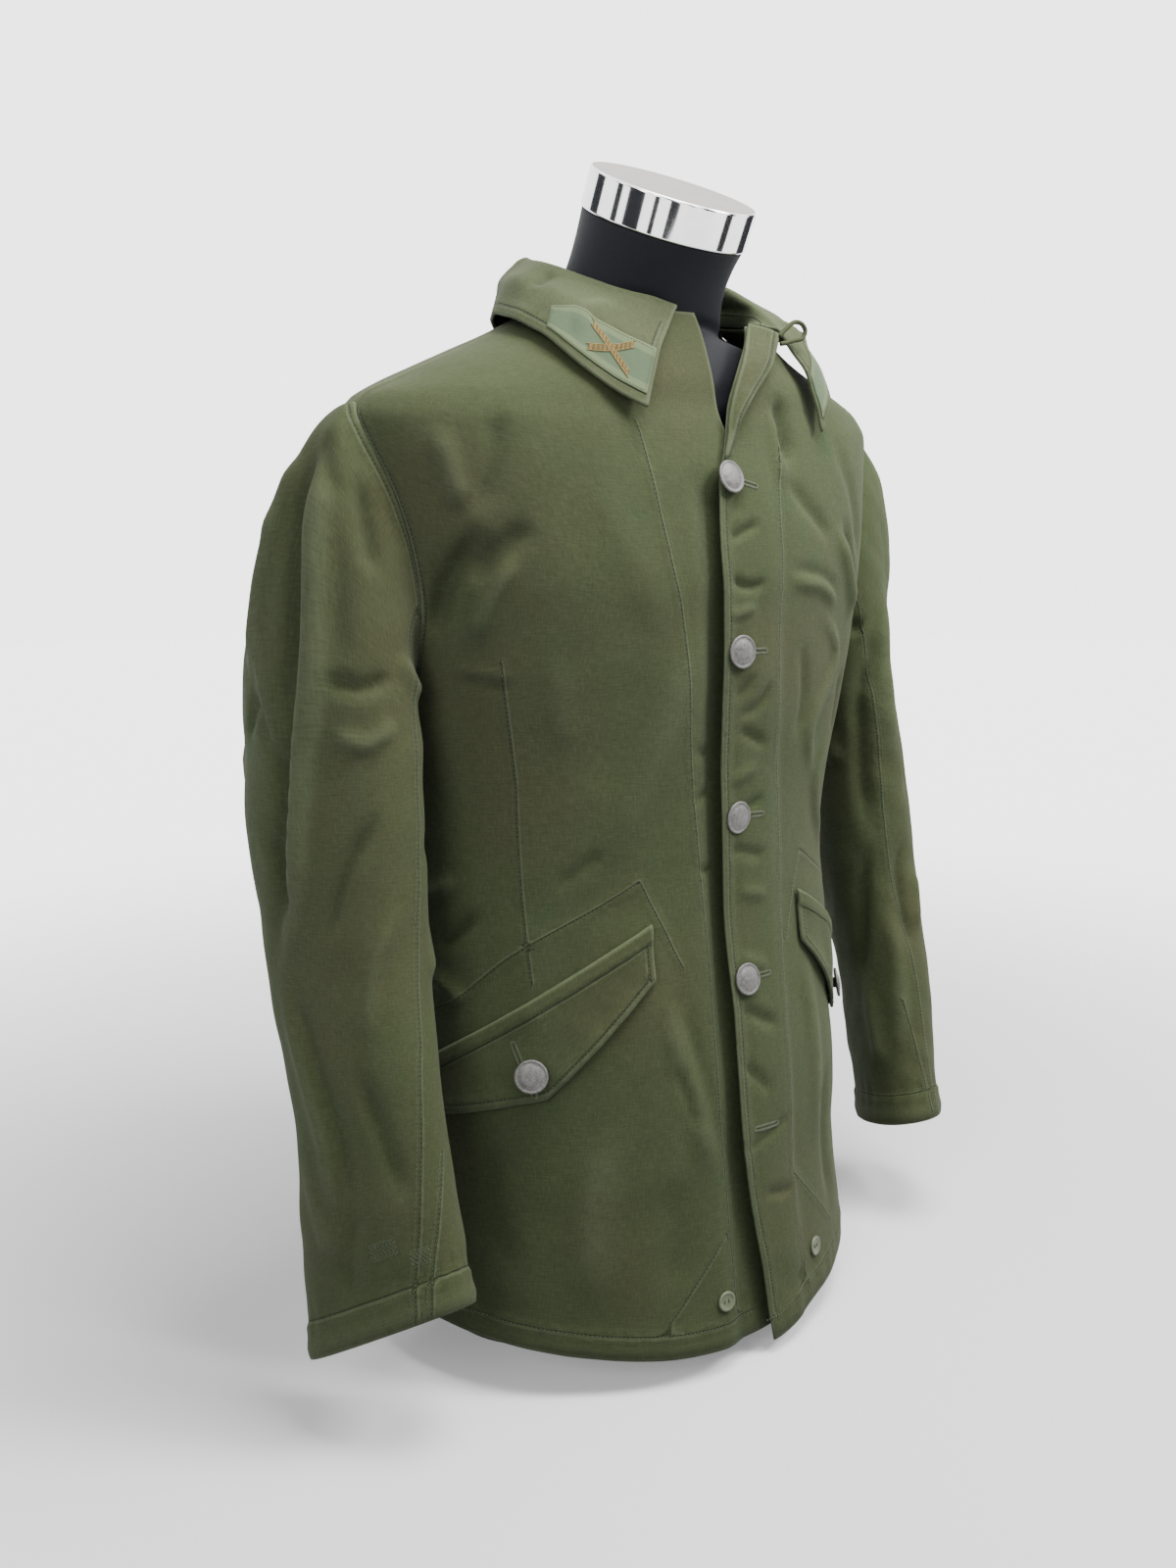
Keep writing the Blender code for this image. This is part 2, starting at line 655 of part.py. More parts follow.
def dress_form():
    """Torso, shoulders and neck as one body: a flat base, then sections up to the cap's tilted underside."""
    sides = 32
    turn = np.arange(sides) * 2 * math.pi / sides
    rings = []
    for height, y, wide, front_depth, back_depth in FORM:
        deep = np.where(np.cos(turn) > 0, front_depth, back_depth)
        rings.append(np.stack([wide * np.sin(turn), y - deep * np.cos(turn), np.full(sides, height)], axis=1))
    for height, inside in FORM_SHOULDER:
        tip = ease((np.abs(body(turn, height)[:, 0]) - FORM_TIP) / 40)
        rings.append(body_out(turn, np.full(sides, height), -CLOTH / 2 - inside - 8 * tip))
    axis = np.array([0, -math.sin(CAP_TILT), math.cos(CAP_TILT)])
    forward = np.array([0, -math.cos(CAP_TILT), -math.sin(CAP_TILT)])
    top = CAP_TOP - axis * (CAP_HEIGHT + 0.4)
    end = top + (CAP_RADIUS - 1.5) * (
        np.sin(turn)[:, None] * np.array([1.0, 0, 0]) + np.cos(turn)[:, None] * forward
    )
    start = rings[-1]
    for k in range(1, FORM_NECK_ROWS + 1):
        t = k / FORM_NECK_ROWS
        waist = 1 - FORM_WAIST * math.sin(math.pi * t)
        ring = start + (end - start) * t
        middle = ring.mean(axis=0)
        rings.append(middle + (ring - middle) * waist)
    points = np.concatenate(rings)
    faces = [tuple(range(sides))[::-1], tuple(range(len(points) - sides, len(points)))]
    for r in range(len(rings) - 1):
        for k in range(sides):
            n = (k + 1) % sides
            low = r * sides
            faces.append((low + k, low + n, low + sides + n, low + sides + k))
    make_mesh("form_torso", points, faces, "form", rough=0.7)
    profile = [
        (0, 0), (CAP_RADIUS - 1, 0), (CAP_RADIUS, 1), (CAP_RADIUS, CAP_HEIGHT - 1), (CAP_RADIUS - 1, CAP_HEIGHT),
        (0, CAP_HEIGHT),
    ]
    revolve("form_neck_cap", profile, CAP_TOP - axis * CAP_HEIGHT, axis, "chrome", sides=48, rough=0.1, metal=1.0)


def main():
    clear_scene()
    dress_form()
    back()
    right_front()
    left_front()
    lapel()
    sleeve(-1, "right")
    sleeve(1, "left")
    collar()
    collar_patches()
    flap(-1, "right")
    flap(1, "left")
    front_buttons()
    flap_buttons()
    corner_buttons()
    neck_loop()


main()
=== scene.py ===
"""Looks of a cotton field jacket on a limbless black dress form with a polished neck cap.

World axes: +Z up, the jacket's front faces -Y, the wearer's left is +X. Working sizes are in millimetres.
"""

import logging
import math
from dataclasses import dataclass, field
from enum import Enum
from typing import Callable, Sequence, Union

import bpy
import numpy as np
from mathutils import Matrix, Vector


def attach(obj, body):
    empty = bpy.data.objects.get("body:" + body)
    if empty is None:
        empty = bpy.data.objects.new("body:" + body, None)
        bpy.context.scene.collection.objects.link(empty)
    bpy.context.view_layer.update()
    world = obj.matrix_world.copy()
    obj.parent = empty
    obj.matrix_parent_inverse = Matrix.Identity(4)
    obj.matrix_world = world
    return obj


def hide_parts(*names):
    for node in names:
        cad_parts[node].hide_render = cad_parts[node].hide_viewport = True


MM = 0.001
LOG = logging.getLogger("jacket")
Array = np.ndarray
Number = Union[float, "Value"]

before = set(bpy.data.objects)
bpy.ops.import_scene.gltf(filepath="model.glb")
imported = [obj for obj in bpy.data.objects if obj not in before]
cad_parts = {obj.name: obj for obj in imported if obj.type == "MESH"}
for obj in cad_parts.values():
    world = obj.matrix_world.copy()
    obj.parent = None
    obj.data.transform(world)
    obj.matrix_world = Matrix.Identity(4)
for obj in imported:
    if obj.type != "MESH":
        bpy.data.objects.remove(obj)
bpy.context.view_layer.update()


# ---------------------------------------------------------------- tables and surfaces


def smooth(table: Array, column: int, at: Array) -> Array:
    """Value of a table's column: a cubic through every row whose slopes never overshoot.

    Args:
        table: rows whose first column is the height.
        column: the column to read.
        at: heights to read it at.

    Returns:
        The values, in the shape of at.
    """
    rows = table[np.argsort(table[:, 0])]
    x, y = rows[:, 0].astype(float), rows[:, column].astype(float)
    step = np.diff(x)
    slope = np.diff(y) / step
    tangent = np.zeros(len(x))
    tangent[0], tangent[-1] = slope[0], slope[-1]
    same = slope[:-1] * slope[1:] > 0
    before, after = np.where(same, slope[:-1], 1.0), np.where(same, slope[1:], 1.0)
    first, second = 2 * step[1:] + step[:-1], step[1:] + 2 * step[:-1]
    tangent[1:-1] = np.where(same, (first + second) / (first / before + second / after), 0.0)
    at = np.clip(np.asarray(at, float), x[0], x[-1])
    i = np.clip(np.searchsorted(x, at, side="right") - 1, 0, len(step) - 1)
    t = (at - x[i]) / step[i]
    out = (1 + 2 * t) * (1 - t) ** 2 * y[i] + t * (1 - t) ** 2 * step[i] * tangent[i]
    return out + t * t * (3 - 2 * t) * y[i + 1] + t * t * (t - 1) * step[i] * tangent[i + 1]


def ease(t: Array) -> Array:
    """Smooth step: 3 t squared less 2 t cubed, with t held between 0 and 1."""
    t = np.clip(t, 0.0, 1.0)
    return t * t * (3 - 2 * t)


def signed_power(value: Array, power: Array) -> Array:
    """A power that keeps the sign of its base."""
    return np.sign(value) * np.abs(value) ** power


def unit(vectors: Array) -> Array:
    """Vectors of length one."""
    return vectors / np.maximum(np.linalg.norm(vectors, axis=-1, keepdims=True), 1e-9)


def grid_normals(grid: Array, closed: bool = False) -> Array:
    """Normals of a grid: the step to the next column crossed with the step to the next row.

    Args:
        grid: points, rows up and columns across.
        closed: whether the last column meets the first.

    Returns:
        Unit normals of the same shape.
    """
    up = np.gradient(grid, axis=0)
    if closed:
        across = np.roll(grid, -1, axis=1) - np.roll(grid, 1, axis=1)
    else:
        across = np.gradient(grid, axis=1)
    return unit(np.cross(across, up))


def cubic(points: Array, at: Array) -> Array:
    """A row of points read at any place along it, on the cubic through its four neighbours.

    Args:
        points: the row; its first axis is the one read along.
        at: places, in steps from the first point.

    Returns:
        The points there.
    """
    points = np.asarray(points, float)
    at = np.asarray(at, float)
    i = np.clip(at.astype(int), 0, len(points) - 2)
    t = (at - i).reshape((-1,) + (1,) * (points.ndim - 1))
    padded = np.concatenate([2 * points[:1] - points[1:2], points, 2 * points[-1:] - points[-2:-1]])
    a, b, c, d = padded[i], padded[i + 1], padded[i + 2], padded[i + 3]
    return b + 0.5 * t * (c - a + t * (2 * a - 5 * b + 4 * c - d + t * (3 * (b - c) + d - a)))


def resample(points: Array, count: int) -> Array:
    """A row of points made finer: count points spread evenly over its steps."""
    return cubic(points, np.linspace(0, len(points) - 1, count))


def lookup(grid: Array, rows: Array, columns: Array) -> Array:
    """A fine grid read at any rows and columns, weighing the four points around each."""
    i = np.clip(np.asarray(rows).astype(int), 0, grid.shape[0] - 2)
    j = np.clip(np.asarray(columns).astype(int), 0, grid.shape[1] - 2)
    s, t = np.asarray(rows - i)[..., None], np.asarray(columns - j)[..., None]
    low = grid[i, j] * (1 - t) + grid[i, j + 1] * t
    return low * (1 - s) + (grid[i + 1, j] * (1 - t) + grid[i + 1, j + 1] * t) * s


@dataclass(frozen=True)
class BodySurface:
    """The jacket's body as one surface: a superellipse whose half sizes change with height."""

    table: tuple[tuple[float, ...], ...] = (
        (-20, -10, 192, 164, 122, 2.05), (90, -11, 187, 151, 117, 2.02), (220, -11, 183, 138, 111, 2.00),
        (350, -10, 178, 121, 104, 2.00), (450, -2, 192, 119, 108, 2.05), (530, 0, 206, 119, 113, 2.12),
        (590, 0, 218, 109, 111, 2.08), (640, 0, 229, 96, 105, 2.02), (654, 0, 220, 91, 102, 2.00),
        (668, 0, 190, 88, 98, 2.00), (684, 0, 152, 82, 91, 2.00), (700, 0, 114, 75, 83, 2.00),
        (718, 0, 76, 65, 73, 2.00),
    )

    def read(self, column: int, height: Array) -> Array:
        """One column of the table: 1 centre, 2 half width, 3 front depth, 4 back depth, 5 power."""
        return smooth(np.array(self.table), column, height)

    def point(self, angle: Array, height: Array) -> Array:
        """Point at an angle: x is the half width times the sine's power, y the depth times the cosine's."""
        angle, height = np.broadcast_arrays(np.asarray(angle, float), np.asarray(height, float))
        deep = np.where(np.cos(angle) > 0, self.read(3, height), self.read(4, height))
        power = 2.0 / self.read(5, height)
        x = self.read(1, height) + self.read(2, height) * signed_power(np.sin(angle), power)
        return np.stack([x, -deep * signed_power(np.cos(angle), power), height], axis=-1)

    def normal(self, angle: Array, height: Array) -> Array:
        """Unit normal: a small step round the body crossed with a small step up it."""
        across = self.point(np.asarray(angle) + 0.02, height) - self.point(np.asarray(angle) - 0.02, height)
        up = self.point(angle, np.asarray(height) + 1.5) - self.point(angle, np.asarray(height) - 1.5)
        return unit(np.cross(across, up))

    def angle_of(self, x: Array, height: Array) -> Array:
        """Angle round the front where the surface is x to the wearer's left."""
        x = np.asarray(x, float) - self.read(1, height)
        share = np.clip(np.abs(x) / self.read(2, height), 0, 1)
        return np.sign(x) * np.arcsin(share ** (self.read(5, height) / 2.0))


BODY = BodySurface()
CLOTH = 1.6
DOUBLE = 2.4
SEAM = 0.35
ARMPIT = 465.0
SHOULDER = 650.0
NECKLINE = 714.0
NECK_LEFT = 705.0
BREAK = 626.0
HEM_FRONT = 17.0
HEM_SIDE = 43.0
HEM_BACK = 28.0
RIGHT_EDGE = np.array([(0, 17), (560, 17), (612, 8), (650, -3), (722, -2)], float)
LEFT_EDGE = np.array([
    (0, -1), (60, -8), (120, -17), (170, -22), (545, -23),
    (600, -17), (628, -5), (645, 1), (664, 9), (680, 21), (698, 39), (722, 62),
], float)


def armhole_angle(height: Array, behind: bool) -> Array:
    """How far round the body a panel reaches: a quarter turn less the armhole's bite."""
    part = np.clip((height - ARMPIT) / (SHOULDER - ARMPIT), 0, 1)
    return math.pi / 2 - np.sin(math.pi * part) ** 0.5 * (0.34 if behind else 0.26)


def left_lift(x: Array, height: Array) -> Array:
    """How far the left front lies outside the body surface: over the right front, and off it at the lapel."""
    over = (CLOTH + SEAM) * (1 - ease((x - 20) / 25))
    return over + 4.0 * ease((height - BREAK) / 50) * (1 - ease((x - 60) / 60))


# ---------------------------------------------------------------- creases


@dataclass(frozen=True)
class Crease:
    """A soft fold placed on a piece.

    Its height falls off from its line as exp(-(distance / width) squared), and fades towards its two ends.
    A lean sinks the cloth on the fold's left side, as beside a fold that has been pressed over.
    """

    places: tuple[tuple[float, float], ...]
    depth: float
    width: float
    lean: float = 0.0


Place = Callable[[Array, Array], Array]
FOLD_DEPTH = 1.5
FOLD_WIDTH = 0.66
BROAD = 15.0  # creases at least this wide are soft and keep BROAD_GAIN of their depth
BROAD_GAIN = 0.8
NARROW = 7.0  # creases narrower than this are sharpened
NARROW_GAIN = 1.25


def line_distance(points: Array, line: Array) -> tuple[Array, Array, Array]:
    """Nearest distance from points to a line of points, the vector to it, and the share of the line there.

    Args:
        points: N points.
        line: K points in order.

    Returns:
        Distances, vectors from the line, and shares from 0 to 1.
    """
    start, step = line[:-1], np.diff(line, axis=0)
    length = np.linalg.norm(step, axis=1)
    run = np.concatenate([[0], np.cumsum(length)])
    off = points[:, None] - start[None]
    t = np.clip((off * step).sum(-1) / np.maximum(length ** 2, 1e-9), 0, 1)
    away = off - t[..., None] * step
    far = np.linalg.norm(away, axis=-1)
    near = far.argmin(1)
    row = np.arange(len(points))
    share = (run[near] + t[row, near] * length[near]) / run[-1]
    return far[row, near], away[row, near], share


def side_of(points: Array, line: Array, normals: Array) -> Array:
    """Signed distance to a line: positive on its left as seen from outside."""
    far, away, share = line_distance(points, line)
    run = np.linspace(0, 1, len(line))
    ahead = np.gradient(line, axis=0)
    direction = np.stack([np.interp(share, run, ahead[:, k]) for k in range(3)], axis=-1)
    left = np.cross(normals, unit(direction))
    return far * np.where((away * left).sum(-1) >= 0, 1.0, -1.0)


def crease_field(points: Array, normals: Array, creases: Sequence[Crease], place: Place) -> Array:
    """Sum of all creases at each point, outwards in millimetres."""
    total = np.zeros(len(points))
    for crease in creases:
        spots = resample(np.array(crease.places, float), 4 * len(crease.places))
        line = place(spots[:, 0], spots[:, 1])
        width = crease.width * FOLD_WIDTH
        reach = 3.2 * width
        close = ((points > line.min(0) - reach) & (points < line.max(0) + reach)).all(1)
        if not close.any():
            continue
        here = points[close]
        far, _, share = line_distance(here, line)
        signed = side_of(here, line, normals[close])
        fade = ease(share / 0.3) * ease((1 - share) / 0.3)
        shape = np.exp(-((far / width) ** 2))
        beside = np.exp(-(((signed - 1.5 * width) / (0.9 * width)) ** 2))
        depth = crease.depth * (FOLD_DEPTH if crease.width < BROAD else BROAD_GAIN)
        depth *= NARROW_GAIN if crease.width < NARROW else 1.0
        total[close] += depth * fade * (shape - crease.lean * beside)
    return total


def rumple(points: Array, size: float, seed: int, stretch: tuple[float, float, float] = (1, 1, 1)) -> Array:
    """Unevenness from -1 to 1: the mean of seven waves of about this length in seeded directions."""
    random = np.random.RandomState(seed)
    total = np.zeros(points.shape[:-1])
    for _ in range(7):
        way = unit(random.normal(size=3)) * np.array(stretch)
        pitch = size * random.uniform(0.6, 1.6)
        total += np.sin(points @ way * 2 * math.pi / pitch + random.uniform(0, 2 * math.pi))
    return total / 3.2


# ---------------------------------------------------------------- meshes


@dataclass
class Mesh:
    """Points, faces, a texture place for each face corner, and named values for each point."""

    points: Array
    faces: Array
    places: Array
    values: dict[str, Array] = field(default_factory=dict)


def grid_faces(index: Array, places: Array, closed: bool, flip: bool) -> tuple[Array, Array]:
    """Quads of a grid of point numbers and the texture places of their corners."""
    follow = np.roll(index, -1, axis=1) if closed else index[:, 1:]
    own = index if closed else index[:, :-1]
    near, far = (places[:, :-1], places[:, 1:])
    faces = np.stack([own[:-1], follow[:-1], follow[1:], own[1:]], axis=-1).reshape(-1, 4)
    spots = np.stack([near[:-1], far[:-1], far[1:], near[1:]], axis=-2).reshape(-1, 4, 2)
    return (faces[:, ::-1], spots[:, ::-1]) if flip else (faces, spots)


def shell(mid: Array, thick: float, values: dict[str, Array], closed: bool = False) -> Mesh:
    """A closed cloth wall round a grid, half its thickness to each side, with its edges rounded over.

    Args:
        mid: the grid of points, rows up and columns across.
        thick: thickness of the cloth.
        values: named values on the grid.
        closed: whether the last column meets the first.

    Returns:
        The wall's mesh. Texture places are the lengths along rows and columns, in metres.
    """
    rows, columns, _ = mid.shape
    out = grid_normals(mid, closed) * thick / 2
    ring = np.concatenate([mid, mid[:, :1]], axis=1) if closed else mid
    along = np.linalg.norm(np.diff(ring, axis=1), axis=-1).mean(0)
    upward = np.linalg.norm(np.diff(mid, axis=0), axis=-1).mean(1)
    u = np.concatenate([[0], np.cumsum(along)]) * MM
    v = np.concatenate([[0], np.cumsum(upward)]) * MM
    places = np.stack(np.meshgrid(u, v), axis=-1)
    index = np.arange(rows * columns).reshape(rows, columns)
    count = rows * columns
    faces, spots = grid_faces(index, places, closed, False)
    more, more_spots = grid_faces(index + count, places, closed, True)
    all_faces, all_spots = [faces, more], [spots, more_spots]
    points = [(mid + out).reshape(-1, 3), (mid - out).reshape(-1, 3)]
    source = [index.reshape(-1), index.reshape(-1)]
    if closed:
        loops = [(index[0], index[1]), (index[-1][::-1], index[-2][::-1])]
    else:
        rim = np.concatenate([index[0], index[1:, -1], index[-1, -2::-1], index[-2:0:-1, 0]])
        inner = np.concatenate(
            [index[1], index[1:-1, -2], [index[-2, -2]], index[-2, -2::-1], index[-2:0:-1, 1]]
        )
        loops = [(rim, inner[: len(rim)])]
    flat = mid.reshape(-1, 3)
    flat_places = places[:, :columns].reshape(-1, 2)
    used = 2 * count
    for rim, inside in loops:
        number = used + np.arange(len(rim))
        used += len(rim)
        points.append(flat[rim] + unit(flat[rim] - flat[inside]) * thick * 0.35)
        source.append(rim)
        for low, high in ((rim + count, number), (number, rim)):
            quad = np.stack([np.roll(low, -1), np.roll(high, -1), high, low], axis=-1)
            all_faces.append(quad)
            spot = flat_places[rim]
            all_spots.append(np.repeat(spot[:, None], 4, axis=1))
    picked = np.concatenate(source)
    kept = {name: np.asarray(value, float).reshape(-1)[picked] for name, value in values.items()}
    return Mesh(np.concatenate(points), np.concatenate(all_faces), np.concatenate(all_spots), kept)


def make_object(name: str, mesh: Mesh, material: bpy.types.Material) -> bpy.types.Object:
    """Puts a mesh into the scene in metres, shaded smooth, with its texture places and values.

    Args:
        name: the piece's name.
        mesh: what to build.
        material: its finish.

    Returns:
        The new object, riding on the part.
    """
    data = bpy.data.meshes.new(name)
    faces = [tuple(face) for face in np.asarray(mesh.faces).tolist()]
    data.from_pydata((mesh.points * MM).tolist(), [], faces)
    layer = data.uv_layers.new(name="UVMap")
    layer.data.foreach_set("uv", np.asarray(mesh.places, np.float32).reshape(-1))
    for key, value in mesh.values.items():
        attribute = data.attributes.new(key, "FLOAT", "POINT")
        attribute.data.foreach_set("value", np.asarray(value, np.float32))
    data.polygons.foreach_set("use_smooth", np.ones(len(data.polygons), bool))
    data.materials.append(material)
    data.update()
    piece = bpy.data.objects.new(name, data)
    bpy.context.scene.collection.objects.link(piece)
    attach(piece, "root")
    LOG.info("%s: %d faces", name, len(data.polygons))
    return piece


def joined(meshes: Sequence[Mesh]) -> Mesh:
    """Several meshes as one."""
    start = np.cumsum([0] + [len(m.points) for m in meshes])
    keys = meshes[0].values.keys()
    return Mesh(
        np.concatenate([m.points for m in meshes]),
        np.concatenate([m.faces + s for m, s in zip(meshes, start)]),
        np.concatenate([m.places for m in meshes]),
        {k: np.concatenate([m.values[k] for m in meshes]) for k in keys},
    )


def rods(starts: Array, ends: Array, outs: Array, radius: float, lift: float = 0.0) -> Mesh:
    """Sewn threads: one short rod for each start and end, its two ends sinking into the cloth.

    Each rod has four rings of four points; a ring's radius and height are shares of the full ones.

    Args:
        starts: where each thread begins.
        ends: where it ends.
        outs: the cloth's normals there.
        radius: radius of the thread.
        lift: further height off the cloth.

    Returns:
        The mesh of all the rods.
    """
    share = np.array([0.0, 0.22, 0.78, 1.0])[None, :, None]
    spot = starts[:, None] * (1 - share) + ends[:, None] * share
    out = unit(outs)[:, None] + 0 * spot
    ahead = unit(ends - starts)[:, None] + 0 * spot
    side = unit(np.cross(ahead, out))
    size = radius * np.array([0.35, 1.0, 1.0, 0.35])[None, :, None]
    spot = spot + out * (np.array([-0.4, 0.55, 0.55, -0.4]) * radius + lift)[None, :, None]
    turn = np.arange(4) * math.pi / 2 + math.pi / 4
    points = np.stack([spot + size * (math.cos(a) * side + math.sin(a) * out) for a in turn], axis=2)
    number = np.arange(points.size // 3).reshape(points.shape[:3])
    follow = np.roll(number, -1, axis=2)
    quads = np.stack([number[:, :-1], number[:, 1:], follow[:, 1:], follow[:, :-1]], axis=-1).reshape(-1, 4)
    faces = np.concatenate([quads, number[:, 0], number[:, -1][:, ::-1]])
    return Mesh(points.reshape(-1, 3), faces, np.zeros((len(faces), 4, 2)))


def stitches(
    line: Array, normals: Array, pitch: float, length: float, radius: float, lift: float = 0.0
) -> Mesh:
    """A run of stitches along a line of closely spaced points on the cloth's face."""
    run = np.concatenate([[0], np.cumsum(np.linalg.norm(np.diff(line, axis=0), axis=1))])
    begin = np.arange(pitch * 0.3, max(run[-1] - length, pitch * 0.31), pitch)

    def read(source: Array, at: Array) -> Array:
        """The source's value at a distance along the line."""
        return np.stack([np.interp(at, run, source[:, k]) for k in range(3)], axis=-1)

    return rods(read(line, begin), read(line, begin + length), read(normals, begin), radius, lift)


def lathe(profile: Sequence[tuple[float, float]], centre: Array, axis: Array, sides: int = 48) -> Mesh:
    """A closed turned solid: (radius, height) from its axis at the bottom to its axis at the top."""
    axis = unit(np.asarray(axis, float))
    side = unit(np.cross(axis, (0.0, 0.0, 1.0) if abs(axis[2]) < 0.9 else (0.0, 1.0, 0.0)))
    turn = np.arange(sides) * 2 * math.pi / sides
    around = np.cos(turn)[:, None] * side + np.sin(turn)[:, None] * np.cross(axis, side)
    rings = [centre + around * max(r, 0.02) + axis * h for r, h in profile]
    points = np.concatenate(rings)
    number = np.arange(len(points)).reshape(len(rings), sides)
    follow = np.roll(number, -1, axis=1)
    faces = np.stack([number[:-1], follow[:-1], follow[1:], number[1:]], axis=-1).reshape(-1, 4)
    half = sides // 2
    for ring in (number[0][::-1], number[-1]):
        strip = [(ring[k], ring[k + 1], ring[-k - 2], ring[-k - 1]) for k in range(half - 1)]
        faces = np.concatenate([faces, np.array(strip)])
    places = np.zeros((len(faces), 4, 2))
    return Mesh(points, faces, places)


# ---------------------------------------------------------------- finishes


class Value:
    """A number on its way through a material: arithmetic on it adds Math nodes."""

    def __init__(self, graph: "Graph", socket: bpy.types.NodeSocket) -> None:
        """Wraps a socket of a graph."""
        self.graph = graph
        self.socket = socket

    def math(self, operation: str, *others: Number, first: Union[Number, None] = None) -> "Value":
        """One Math node on this value, or on first when the order is turned round."""
        given = [self if first is None else first, *(others if first is None else [self])]
        return self.graph.number("ShaderNodeMath", {"operation": operation}, dict(enumerate(given)))

    def __add__(self, other: Number) -> "Value":
        """Sum."""
        return self.math("ADD", other)

    def __sub__(self, other: Number) -> "Value":
        """Difference."""
        return self.math("SUBTRACT", other)

    def __rsub__(self, other: Number) -> "Value":
        """Difference, turned round."""
        return self.math("SUBTRACT", first=other)

    def __mul__(self, other: Number) -> "Value":
        """Product."""
        return self.math("MULTIPLY", other)

    def __truediv__(self, other: Number) -> "Value":
        """Quotient."""
        return self.math("DIVIDE", other)

    __radd__ = __add__
    __rmul__ = __mul__

    def absolute(self) -> "Value":
        """The value without its sign."""
        return self.math("ABSOLUTE")

    def sine(self) -> "Value":
        """Its sine."""
        return self.math("SINE")

    def step(self, low: float, high: float) -> "Value":
        """Smooth rise from 0 at low to 1 at high, or a fall when high is the smaller."""
        down = high < low
        settings = {"interpolation_type": "SMOOTHSTEP"}
        ends = {1: min(low, high), 2: max(low, high), 3: 1.0 if down else 0.0, 4: 0.0 if down else 1.0}
        return self.graph.number("ShaderNodeMapRange", settings, {0: self, **ends})


class Graph:
    """A material being built: every node but a Math node comes from its node method."""

    def __init__(self, name: str, **constants: object) -> None:
        """Starts a material whose shader has the given constant sockets."""
        self.material = bpy.data.materials.new(name)
        self.material.use_nodes = True
        self.nodes = self.material.node_tree.nodes
        self.links = self.material.node_tree.links
        self.nodes.clear()
        self.shader = self.nodes.new("ShaderNodeBsdfPrincipled")
        output = self.nodes.new("ShaderNodeOutputMaterial")
        self.links.new(self.shader.outputs[0], output.inputs[0])
        for key, value in constants.items():
            self.shader.inputs[key.replace("_", " ")].default_value = value

    def node(
        self, kind: str, settings: dict[str, object], values: dict[Union[int, str], object]
    ) -> bpy.types.Node:
        """Adds a node: its settings first, then its sockets' values or links."""
        node = self.nodes.new(kind)
        for key, value in settings.items():
            setattr(node, key, value)
        for key, value in values.items():
            if isinstance(value, Value):
                self.links.new(value.socket, node.inputs[key])
            elif isinstance(value, bpy.types.NodeSocket):
                self.links.new(value, node.inputs[key])
            else:
                node.inputs[key].default_value = value
        return node

    def number(self, kind: str, settings: dict[str, object], values: dict[Union[int, str], object]) -> Value:
        """Adds a node and returns its first output as a number."""
        return Value(self, self.node(kind, settings, values).outputs[0])

    def attribute(self, name: str) -> Value:
        """A named value of the mesh."""
        return Value(self, self.node("ShaderNodeAttribute", {"attribute_name": name}, {}).outputs["Fac"])

    def coordinates(self, kind: str) -> bpy.types.NodeSocket:
        """Texture coordinates: Object or UV."""
        return self.node("ShaderNodeTexCoord", {}, {}).outputs[kind]

    def mapped(self, vector: bpy.types.NodeSocket, scale: tuple[float, float, float]) -> bpy.types.NodeSocket:
        """Coordinates stretched by a scale."""
        return self.node("ShaderNodeMapping", {}, {"Vector": vector, "Scale": scale}).outputs[0]

    def noise(self, vector: object, scale: float, detail: float = 3.0, rough: float = 0.5) -> Value:
        """Cloudy noise from 0 to 1."""
        values = {"Vector": vector, "Scale": scale, "Detail": detail, "Roughness": rough}
        return self.number("ShaderNodeTexNoise", {}, values)

    def parts(self, vector: bpy.types.NodeSocket) -> tuple[Value, Value]:
        """The first two numbers of a vector."""
        node = self.node("ShaderNodeSeparateXYZ", {}, {0: vector})
        return Value(self, node.outputs[0]), Value(self, node.outputs[1])

    def blend(self, share: Number, first: object, second: object, kind: str = "MIX") -> bpy.types.NodeSocket:
        """Two colours mixed by a share."""
        settings = {"data_type": "RGBA", "blend_type": kind, "clamp_factor": True}
        node = self.node("ShaderNodeMix", settings, {0: share, 6: first, 7: second})
        return node.outputs[2]

    def bump(self, height: Value, distance: float, strength: float = 1.0, under: object = None) -> object:
        """Raised detail: height times distance, in metres, on top of another bump."""
        values: dict[Union[int, str], object] = {"Height": height, "Distance": distance, "Strength": strength}
        if under is not None:
            values["Normal"] = under
        return self.node("ShaderNodeBump", {}, values).outputs[0]

    def finish(self, **links: object) -> bpy.types.Material:
        """Links values into the shader and returns the material."""
        for key, value in links.items():
            socket = value.socket if isinstance(value, Value) else value
            self.links.new(socket, self.shader.inputs[key.replace("_", " ")])
        return self.material


Colour = tuple[float, float, float, float]


